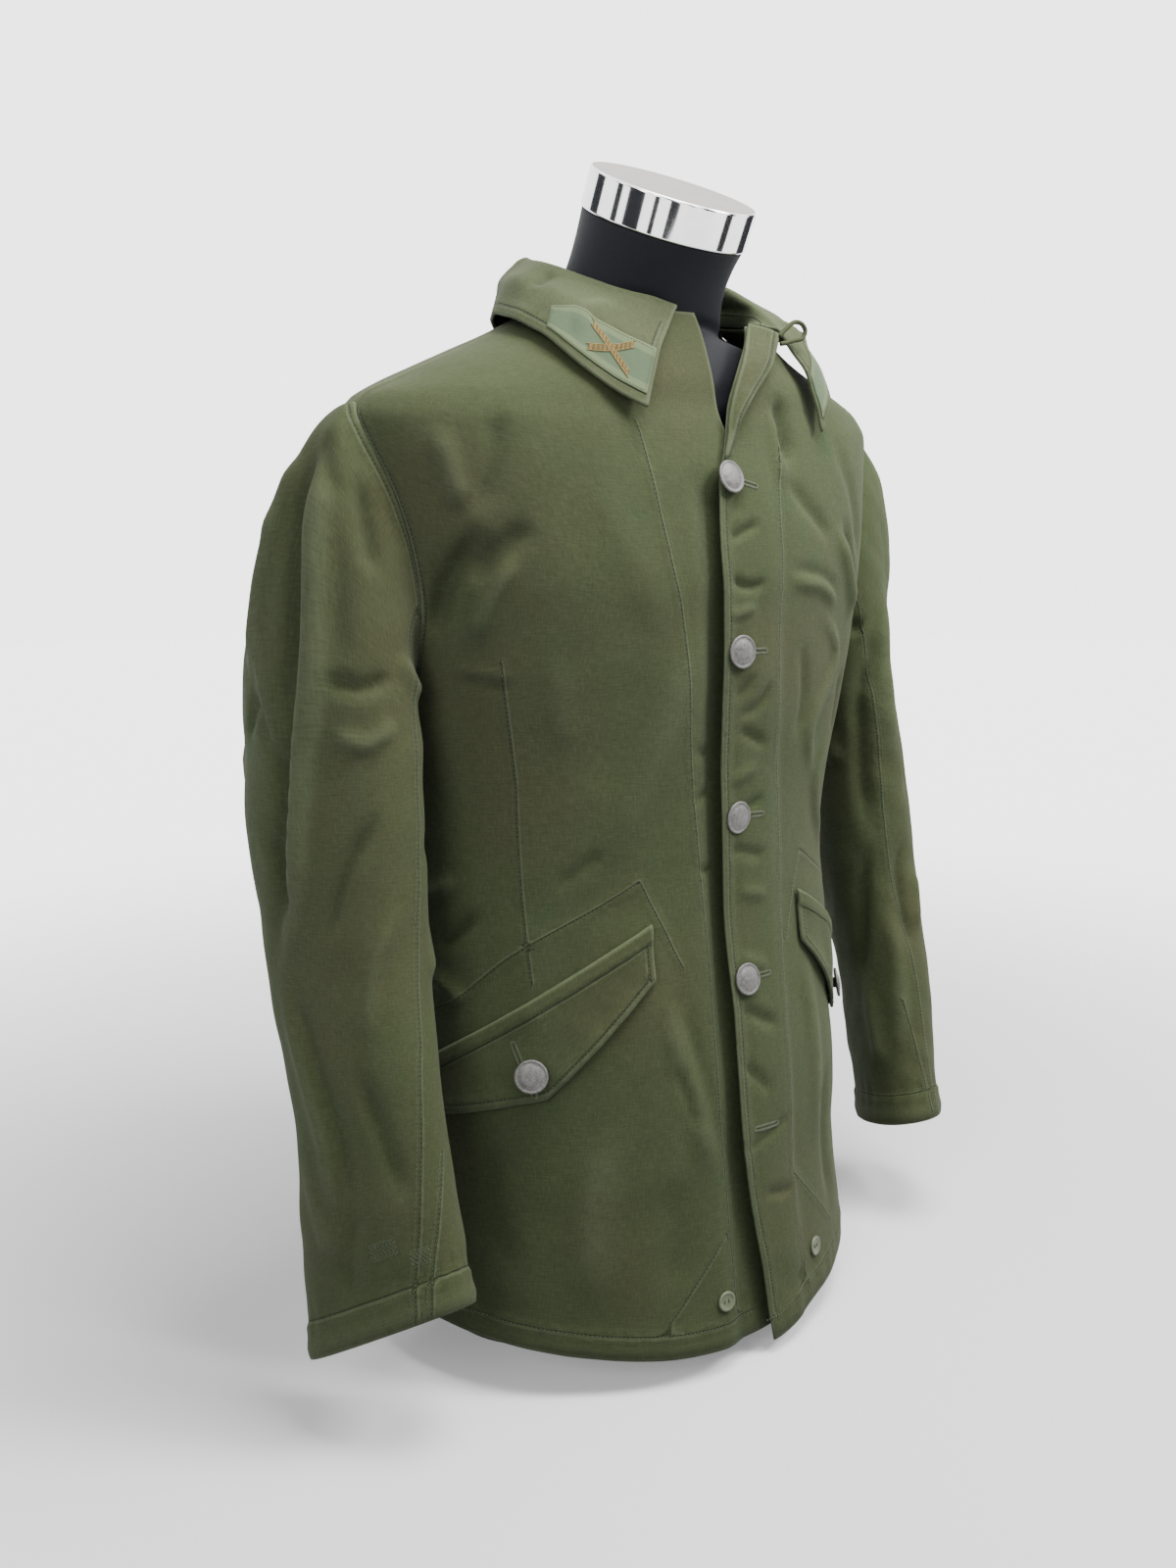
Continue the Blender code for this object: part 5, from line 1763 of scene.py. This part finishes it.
def tube(path: Array, radius: float, sides: int) -> Mesh:
    """A closed tube along a path, its ends drawn in to small flat caps of four-sided faces."""
    ahead = unit(np.gradient(path, axis=0))
    side = unit(np.cross(ahead, unit(np.array([0.3, 0.9, 0.2]))))
    other = np.cross(side, ahead)
    turn = np.arange(sides) * 2 * math.pi / sides
    size = np.full(len(path), radius)
    size[[0, -1]] = radius * 0.4
    ring = side[:, None] * np.cos(turn)[None, :, None] + other[:, None] * np.sin(turn)[None, :, None]
    points = path[:, None] + ring * size[:, None, None]
    number = np.arange(points.size // 3).reshape(points.shape[:2])
    follow = np.roll(number, -1, axis=1)
    faces = np.stack([number[:-1], number[1:], follow[1:], follow[:-1]], axis=-1).reshape(-1, 4)
    for cap, up in ((number[0], False), (number[-1], True)):
        strip = [(cap[k], cap[k + 1], cap[-k - 2], cap[-k - 1]) for k in range(sides // 2 - 1)]
        strip = np.array(strip)
        faces = np.concatenate([faces, strip[:, ::-1] if up else strip])
    return Mesh(points.reshape(-1, 3), faces, np.zeros((len(faces), 4, 2)))


@dataclass
class NeckLoop:
    """A rouleau loop sewn to the lapel's corner, its bend standing out."""

    path: tuple[tuple[float, float, float], ...] = (
        (0.9, -0.3, -1.5), (5, -1, 2.5), (13, -2, 8.5), (20, -3, 8.5), (24, -3.5, 4),
        (21, -3.5, -1.5), (13, -3, -3.5), (6, -2.5, -5.5), (0.9, -1.0, -6.5),
    )
    corner: tuple[float, float, float] = (70, -77, 705)

    def build(self, finishes: Finishes) -> list[bpy.types.Object]:
        """Makes the loop.

        Args:
            finishes: the materials to dress it with.

        Returns:
            The pieces made.
        """
        path = resample(np.array(self.corner) + np.array(self.path), 70)
        mesh = tube(path, 1.6, 12)
        mesh.values = {key: np.full(len(mesh.points), value) for key, value in PALE.items()}
        loop = make_object("neck_loop_cloth", mesh, finishes.cloth)
        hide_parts("neck_loop")
        return [loop]


# ---------------------------------------------------------------- flaps, buttons, buttonholes, mends


@dataclass
class Flap:
    """A hip pocket flap on its front: a raised band along its top, stitched edges, a lifted lower edge."""

    front: FrontPanel
    label: str
    table: tuple[tuple[float, ...], ...] = (
        (0.405, 317, 281), (0.62, 298, 245), (0.85, 277, 208), (1.10, 254, 199), (1.48, 220, 186),
    )
    gap: float = 0.8

    def edges(self, angle: Array) -> tuple[Array, Array]:
        """Heights of the upper and lower edge at an angle, without its sign."""
        rows = np.array(self.table)
        return np.interp(angle, rows[:, 0], rows[:, 1]), np.interp(angle, rows[:, 0], rows[:, 2])

    def surface(self, angle: Array, height: Array, out: float) -> tuple[Array, Array]:
        """Points that far off the flap's middle, and normals. The angle has no sign."""
        upper, lower = self.edges(angle)
        share = np.clip((height - lower) / np.maximum(upper - lower, 1), 0, 1)
        turn = angle * self.front.side
        below = self.front.relief(turn, height)
        points, normals = self.front.bare(turn, height)
        welt = ease((upper - height) / 1.2) * (1 - ease((upper - height - 9.0) / 1.6)) * 1.1
        curl = 2.6 * ease((0.55 - share) / 0.55) ** 2 * (0.55 + 0.45 * np.cos((angle - 0.62) * 11.0))
        puff = 1.1 * np.sin(math.pi * share) * ease((angle - 0.42) / 0.15) * ease((1.46 - angle) / 0.15)
        wave = rumple(points, 34, 8) * 0.55 * (1 - share * 0.6)
        off = np.maximum(below, 0.6 * below) + CLOTH / 2 + SEAM + self.gap + DOUBLE / 2
        return points + normals * (off + welt + curl + puff + wave + out)[..., None], normals

    def lines(self) -> list[Array]:
        """Stitched lines as angle and height: below the band, and inside the lower edge and both ends."""
        angle = np.linspace(0.43, 1.455, 240)
        upper, lower = self.edges(angle)
        found = [np.stack([angle, upper - 10.5], axis=1), np.stack([angle, lower + 5.0], axis=1)]
        for end in (0.43, 1.455):
            high, low = self.edges(np.array(end))
            height = np.linspace(float(low) + 5, float(high) - 10.5, 60)
            found.append(np.stack([np.full(60, end), height], axis=1))
        return found

    def build(self, finishes: Finishes) -> list[bpy.types.Object]:
        """Makes the flap and its stitching.

        Args:
            finishes: the materials to dress it with.

        Returns:
            The pieces made.
        """
        angle, up = np.meshgrid(np.linspace(0.405, 1.48, 82), np.linspace(0, 1, 34))
        upper, lower = self.edges(angle)
        height = lower + (upper - lower) * up
        mid, normals = self.surface(angle, height, 0.0)
        lines = [self.surface(line[:, 0], line[:, 1], 0.0)[0] for line in self.lines()]
        seam = seam_distance(mid, normals, lines)
        # Colour only, no shape: the flap is painted paler all over and most towards its curled lower edge,
        # worn pale with a painted highlight.
        relief = 1.3 * ease((0.5 - up) / 0.5) ** 2 + 0.5
        edge, columns = rim_distance(mid), slice(None, None, self.front.side)
        values = values_of(Look.of(relief), edge, seam)
        values = {key: value[:, columns] for key, value in values.items()}
        name = f"{self.label}_pocket_flap"
        cloth = make_object(f"{name}_cloth", shell(mid[:, columns], DOUBLE, values), finishes.cloth)
        runs = []
        for line in self.lines():
            spots, outs = self.surface(line[:, 0], line[:, 1], DOUBLE / 2 - 0.15)
            runs.append(stitches(spots, outs, STITCH_PITCH, STITCH_LENGTH, THREAD_RADIUS))
        runs.append(buttonhole(lambda a, h: self.surface(a, h, DOUBLE / 2), (0.985, 244), (0.90, 210)))
        thread = make_object(f"{name}_stitching", joined(runs), finishes.thread)
        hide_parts(name)
        flat, area = flat_size(mid)
        return [cloth, thread]


Surface = Callable[[Array, Array], tuple[Array, Array]]


def buttonhole(surface: Surface, start: tuple[float, float], end: tuple[float, float]) -> Mesh:
    """A worked buttonhole: close threads laid square to its slit, along both sides and round its ends.

    Args:
        surface: gives points and normals of the cloth's face for two coordinates.
        start: one end of the slit in those coordinates.
        end: the other end.

    Returns:
        The mesh of the threads.
    """
    t = np.linspace(0, 1, 60)
    line, normals = surface(start[0] + (end[0] - start[0]) * t, start[1] + (end[1] - start[1]) * t)
    length = float(np.linalg.norm(line[-1] - line[0]))
    ahead, out = unit(line[-1] - line[0]), unit(normals.mean(0))
    side = unit(np.cross(out, ahead))
    count = int(length / 0.62)
    share = np.linspace(0, 59, count).astype(int)
    starts, ends = [], []
    for sign in (-1.0, 1.0):
        starts.append(line[share] + side * 0.45 * sign)
        ends.append(line[share] + side * 2.35 * sign)
    fan = np.linspace(-math.pi / 2, math.pi / 2, 9)[:, None]
    for tip, way in ((line[0], -1.0), (line[-1], 1.0)):
        spoke = ahead * way * np.cos(fan) + side * np.sin(fan)
        starts.append(tip + spoke * 0.45)
        ends.append(tip + spoke * 2.35)
    first = np.concatenate(starts)
    return rods(first, np.concatenate(ends), np.repeat(out[None], len(first), axis=0), 0.33, 0.05)


class ButtonKind(Enum):
    """Turned profiles as (radius, height)."""

    METAL = (
        (0.0, 0.0), (4.0, 0.0), (4.0, 2.0), (10.4, 2.2), (11.0, 2.6), (11.2, 3.3), (10.9, 4.0), (10.3, 4.25),
        (9.6, 4.1), (9.2, 3.75), (8.7, 3.85), (7.4, 4.5), (5.4, 5.15), (2.8, 5.55), (0.0, 5.65),
    )
    PLASTIC = (
        (0.0, 0.0), (5.8, 0.0), (6.6, 0.3), (7.0, 0.9), (6.95, 1.6), (6.6, 2.15), (6.0, 2.3), (5.4, 2.1),
        (4.9, 1.7), (3.0, 1.5), (0.0, 1.5),
    )


@dataclass
class Button:
    """One button sewn on a cloth face."""

    name: str
    node: str
    kind: ButtonKind
    centre: Array
    normal: Array
    tip: tuple[float, float, float] = (0.0, 0.0, 0.0)

    def build(self, finishes: Finishes) -> list[bpy.types.Object]:
        """Makes the button, and on a plastic one its crossing threads.

        Args:
            finishes: the materials to dress it with.

        Returns:
            The pieces made.
        """
        axis = unit(self.normal + np.array(self.tip))
        metal = self.kind is ButtonKind.METAL
        mesh = lathe(self.kind.value, self.centre, axis)
        disc = make_object(self.name, mesh, finishes.metal if metal else finishes.plastic)
        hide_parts(self.node)
        if metal:
            return [disc]
        side = unit(np.cross(axis, (0.0, 0.0, 1.0)))
        other = np.cross(axis, side)
        face = self.centre + axis * 1.55
        starts = np.array([face + side * 1.6 * s + other * 1.5 for s in (-1, 1)])
        ends = np.array([face + side * 1.6 * s - other * 1.5 for s in (-1, 1)])
        thread = make_object(
            f"{self.name}_thread", rods(starts, ends, np.array([axis, axis]), 0.45), finishes.thread
        )
        return [disc, thread]


@dataclass
class Fastenings:
    """Buttons, their buttonholes and a small mend of the left front."""

    left: FrontPanel
    right: FrontPanel
    top: float = 605.0
    pitch: float = 112.0
    x: float = -9.0
    count: int = 4

    def spot(self, front: FrontPanel, x: float, z: float, out: float) -> tuple[Array, Array]:
        """A point on a front's creased face, and its normal there."""
        height = np.array([float(z)])
        points, normals = front.surface(BODY.angle_of(x, height), height, out)
        return points[0], normals[0]

    def face(self, x: Array, z: Array) -> tuple[Array, Array]:
        """The left front's outer face for a distance to the left and a height."""
        return self.left.surface(BODY.angle_of(x, z), z, CLOTH / 2)

    def build(self, flaps: Sequence[Flap], finishes: Finishes) -> list[bpy.types.Object]:
        """Makes them all."""
        made: list[bpy.types.Object] = []
        tips = ((0.05, 0.0, 0.10), (-0.06, 0.0, 0.04), (0.04, 0.0, -0.05), (-0.02, 0.0, 0.06))
        holes = []
        for k in range(self.count):
            z = self.top - k * self.pitch
            centre, normal = self.spot(self.left, self.x, z, CLOTH / 2 + 0.1)
            name = f"front_button_{k + 1}"
            made += Button(f"{name}_disc", name, ButtonKind.METAL, centre, normal, tips[k]).build(finishes)
            holes.append(buttonhole(self.face, (-7, z), (16, z - (5 if k == 0 else 1))))
        holes.append(buttonhole(self.face, (-9, 164), (14, 162)))
        holes.append(self.mend(112, 455, 17, 12))
        made.append(make_object("front_buttonholes", joined(holes), finishes.thread))
        for label, front, x, z in (("right", self.right, -43, 51), ("left", self.left, 56, 55)):
            centre, normal = self.spot(front, x, z, CLOTH / 2)
            name = f"{label}_corner_button"
            made += Button(f"{name}_disc", name, ButtonKind.PLASTIC, centre, normal).build(finishes)
        for flap in flaps:
            centre, normal = flap.surface(np.array([0.91]), np.array([224.0]), DOUBLE / 2 + 0.1)
            name = f"{flap.label}_flap_button"
            made += Button(
                f"{name}_disc", name, ButtonKind.METAL, centre[0], normal[0], (0.05, 0, 0.1)
            ).build(finishes)
        return made

    def mend(self, x: float, z: float, wide: float, high: float) -> Mesh:
        """A darned place: close rows of short threads, each a little out of line with the last."""
        runs = []
        for k, level in enumerate(np.arange(-high / 2, high / 2, 1.1)):
            across = np.linspace(-wide / 2, wide / 2, 24) + 1.2 * math.sin(k * 2.1)
            points, normals = self.face(x + across, np.full(24, z + level))
            runs.append(stitches(points, normals, 2.6, 2.1, 0.24))
        return joined(runs)


def sleeve_mends(sleeve: Sleeve, finishes: Finishes) -> bpy.types.Object:
    """Two darned places near the right cuff."""
    runs = []
    for turn, row in ((166.0, 13.7), (141.0, 14.0)):
        for k, level in enumerate(np.linspace(-0.13, 0.13, 11)):
            across = turn + np.linspace(-9, 9, 24) + 1.3 * math.sin(k * 1.9)
            points, normals = sleeve.surface(across, np.full(24, row + level), CLOTH / 2)
            runs.append(stitches(points, normals, 2.5, 2.0, 0.24))
    piece = make_object("right_sleeve_mends", joined(runs), finishes.thread)
    return piece


# ---------------------------------------------------------------- form


@dataclass
class DressForm:
    """The limbless form: torso, shoulders and neck in one, and its tilted polished cap."""

    sections: tuple[tuple[float, ...], ...] = (
        (0, 0, 148, 90, 86), (3, 0, 155, 95, 91), (12, 0, 160, 98, 94), (120, 0, 168, 102, 98),
        (260, 0, 158, 92, 88), (420, 0, 168, 100, 95), (530, 0, 182, 101, 98), (600, 0, 195, 92, 97),
        (632, 0, 196, 84, 93),
    )
    shoulder: tuple[tuple[float, float], ...] = (
        (652, 6.0), (662, 5.4), (674, 5.2), (688, 6.0), (702, 9.0), (716, 15.0),
    )
    cap_radius: float = 58.0
    cap_height: float = 26.0
    tilt: float = math.radians(24)
    cap_top: tuple[float, float, float] = (0.0, -45.0, 797.0)
    sides: int = 96

    def torso(self) -> Mesh:
        """Rings from the base to the underside of the cap, joined as one closed body."""
        turn = np.arange(self.sides) * 2 * math.pi / self.sides
        coarse = []
        for height, y, wide, front, back in self.sections:
            deep = np.where(np.cos(turn) > 0, front, back)
            coarse.append(
                np.stack([wide * np.sin(turn), y - deep * np.cos(turn), np.full(self.sides, height)], 1)
            )
        for height, inside in self.shoulder:
            level = np.full(self.sides, float(height))
            tip = ease((np.abs(BODY.point(turn, level)[:, 0]) - 165) / 40)
            coarse.append(
                BODY.point(turn, level) - BODY.normal(turn, level) * (0.8 + inside + 8 * tip)[:, None]
            )
        axis = np.array([0, -math.sin(self.tilt), math.cos(self.tilt)])
        forward = np.array([0, -math.cos(self.tilt), -math.sin(self.tilt)])
        top = np.array(self.cap_top) - axis * (self.cap_height + 0.4)
        round_it = np.sin(turn)[:, None] * np.array([1.0, 0, 0]) + np.cos(turn)[:, None] * forward
        end = top + (self.cap_radius - 1.5) * round_it
        start = coarse[-1]
        for t in (0.2, 0.4, 0.6, 0.8, 1.0):
            ring = start + (end - start) * t
            middle = ring.mean(axis=0)
            coarse.append(middle + (ring - middle) * (1 - 0.09 * math.sin(math.pi * t)))
        base = np.array(coarse)
        fine = np.concatenate([base[:2], resample(base[2:], 110)])
        number = np.arange(fine.size // 3).reshape(fine.shape[:2])
        follow = np.roll(number, -1, axis=1)
        faces = np.stack([number[:-1], follow[:-1], follow[1:], number[1:]], axis=-1).reshape(-1, 4)
        half = self.sides // 2
        for ring in (number[0][::-1], number[-1]):
            strip = [(ring[k], ring[k + 1], ring[-k - 2], ring[-k - 1]) for k in range(half - 1)]
            faces = np.concatenate([faces, np.array(strip)])
        return Mesh(fine.reshape(-1, 3), faces, np.zeros((len(faces), 4, 2)))

    def build(self, finishes: Finishes) -> list[bpy.types.Object]:
        """Makes the torso and the cap.

        Args:
            finishes: the materials to dress it with.

        Returns:
            The pieces made.
        """
        torso = make_object("form_torso_cover", self.torso(), finishes.form)
        axis = np.array([0, -math.sin(self.tilt), math.cos(self.tilt)])
        foot = np.array(self.cap_top) - axis * self.cap_height
        r, h = self.cap_radius, self.cap_height
        profile = [
            (0, 0), (r - 1.2, 0), (r - 0.35, 0.35), (r, 1.2), (r, 1.5), (r, h - 1.6), (r, h - 1.3),
            (r - 0.4, h - 0.4)
        ]
        profile += [(r - 1.3, h), (r - 1.6, h), (r * 0.6, h), (r * 0.3, h), (0, h)]
        cap = make_object("form_neck_cap_metal", lathe(profile, foot, axis, 128), finishes.cap_side)
        cap.data.materials.append(finishes.cap_top)
        sides = 128
        marks = np.zeros(len(cap.data.polygons), np.int32)
        marks[8 * sides:] = 1
        marks[(len(profile) - 1) * sides: (len(profile) - 1) * sides + sides // 2 - 1] = 0
        cap.data.polygons.foreach_set("material_index", marks)
        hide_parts("form_torso")
        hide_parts("form_neck_cap")
        return [torso, cap]


# ---------------------------------------------------------------- studio


CARDS = (
    (-150, 0.5), (-112, 0.22), (-88, 0.55), (-62, 0.16), (-38, 0.34), (-12, 0.20), (12, 0.45), (48, 0.3),
    (95, 0.6)
)


@dataclass
class Studio:
    """Floor, soft lights, dark cards for the cap to mirror, and the camera."""

    camera_at: tuple[float, float, float] = (-0.712, -0.804, 0.586)
    camera_turn: tuple[float, float, float] = (79.4, 0.0, -40.0)
    lens: float = 33.75

    def light(
        self, name: str, place: Sequence[float], target: Sequence[float], size: float, watts: float
    ) -> None:
        """One square area light, aimed at a target."""
        data = bpy.data.lights.new(name, "AREA")
        data.shape, data.size, data.energy = "SQUARE", size, watts
        lamp = bpy.data.objects.new(name, data)
        lamp.location = place
        away = Vector(place) - Vector(target)
        lamp.rotation_euler = away.to_track_quat("Z", "Y").to_euler()
        bpy.context.scene.collection.objects.link(lamp)

    def card(self, name: str, place: Sequence[float], size: tuple[float, float], turn: float) -> None:
        """A dark upright card that the camera doesn't see."""
        wide, high = size
        data = bpy.data.meshes.new(name)
        points = [
            (-wide / 2, 0, -high / 2), (wide / 2, 0, -high / 2), (wide / 2, 0, high / 2),
            (-wide / 2, 0, high / 2)
        ]
        data.from_pydata(points, [], [(0, 1, 2, 3)])
        data.materials.append(FormFinish("studio_card").material())
        item = bpy.data.objects.new(name, data)
        item.location, item.rotation_euler = place, (0, 0, math.radians(turn))
        item.visible_camera = item.visible_diffuse = item.visible_shadow = False
        bpy.context.scene.collection.objects.link(item)

    def surround(self, name: str, points: Array, faces: Sequence[tuple[int, ...]], height: float,
                 material: bpy.types.Material, seen: bool) -> None:
        """A stage surface that either the camera sees or the cloth does, not both."""
        data = bpy.data.meshes.new(name)
        data.from_pydata(points.tolist(), [], faces)
        data.materials.append(material)
        item = bpy.data.objects.new(name, data)
        item.location = (0, 0, height)
        item.visible_camera = item.visible_glossy = seen
        item.visible_diffuse = not seen
        item.visible_shadow = not seen
        bpy.context.scene.collection.objects.link(item)

    def dome(self, radius: float) -> tuple[Array, list[tuple[int, ...]]]:
        """Points and faces of a ball round the stage."""
        up = np.linspace(-1, 1, 17) * math.pi / 2 * 0.995
        turn = np.arange(32) * math.pi / 16
        high, round_it = np.meshgrid(up, turn, indexing="ij")
        points = np.stack(
            [np.cos(high) * np.cos(round_it), np.cos(high) * np.sin(round_it), np.sin(high)], -1
        )
        number = np.arange(17 * 32).reshape(17, 32)
        follow = np.roll(number, -1, axis=1)
        faces = np.stack([number[:-1], number[1:], follow[1:], follow[:-1]], axis=-1).reshape(-1, 4)
        return points.reshape(-1, 3) * radius, [tuple(face) for face in faces.tolist()]

    def build(self) -> None:
        """Sets the whole stage."""
        square = np.array([(-9, -9, 0), (9, -9, 0), (9, 9, 0), (-9, 9, 0)], float)
        quad = [(0, 1, 2, 3)]
        self.surround("floor", square, quad, -0.0006, FloorFinish().material(), True)
        self.surround("floor_shade", square, quad, -0.002, FormFinish("dark_card").material(), False)
        self.surround("backdrop", *self.dome(6.0), 0.0, BackdropFinish().material(), True)
        world = bpy.data.worlds.new("studio")
        world.use_nodes = True
        world.node_tree.nodes["Background"].inputs["Color"].default_value = (0.90, 0.91, 0.93, 1.0)
        world.node_tree.nodes["Background"].inputs["Strength"].default_value = 0.27
        bpy.context.scene.world = world
        self.light("top", (0.1, -0.45, 1.95), (0.0, 0.0, 0.5), 0.8, 36)
        self.light("key", (0.95, -1.15, 1.75), (0.0, 0.0, 0.55), 0.6, 38)
        self.light("fill", (-1.9, -0.9, 1.35), (0.0, 0.0, 0.45), 0.9, 19)
        for k, (turn, wide) in enumerate(CARDS):
            way = math.radians(turn)
            self.card(f"card_{k + 1}", (1.5 * math.sin(way), -1.5 * math.cos(way), 0.62), (wide, 1.9), turn)
        camera = bpy.data.cameras.new("camera")
        camera.lens, camera.sensor_fit, camera.sensor_height = self.lens, "VERTICAL", 36.0
        camera.sensor_width = 27.0
        eye = bpy.data.objects.new("camera", camera)
        eye.location = self.camera_at
        eye.rotation_euler = [math.radians(a) for a in self.camera_turn]
        bpy.context.scene.collection.objects.link(eye)
        bpy.context.scene.camera = eye


def main() -> None:
    """Builds the jacket, the form and the stage, in the order they are worn."""
    logging.basicConfig(level=logging.INFO, format="%(message)s")
    finishes = Finishes.make()
    made: list[bpy.types.Object] = []
    made += DressForm().build(finishes)
    right, left = right_front(), left_front()
    for panel in (back_panel(), right, left):
        made += panel.build(finishes)
    sleeves = (right_sleeve(), left_sleeve())
    for sleeve in sleeves:
        made += sleeve.build(finishes)
    made.append(sleeve_mends(sleeves[0], finishes))
    collar = Collar()
    made += collar.build(finishes)
    made += CollarPatch("right", -1, True).build(collar, finishes)
    made += CollarPatch("left", 1, False).build(collar, finishes)
    made += Lapel().build(finishes)
    made += NeckLoop().build(finishes)
    flaps = [Flap(right, "right"), Flap(left, "left")]
    for flap in flaps:
        made += flap.build(finishes)
    made += Fastenings(left, right).build(flaps, finishes)
    LOG.info("%d pieces", len(made))
    Studio().build()


if __name__ == "__main__":
    main()
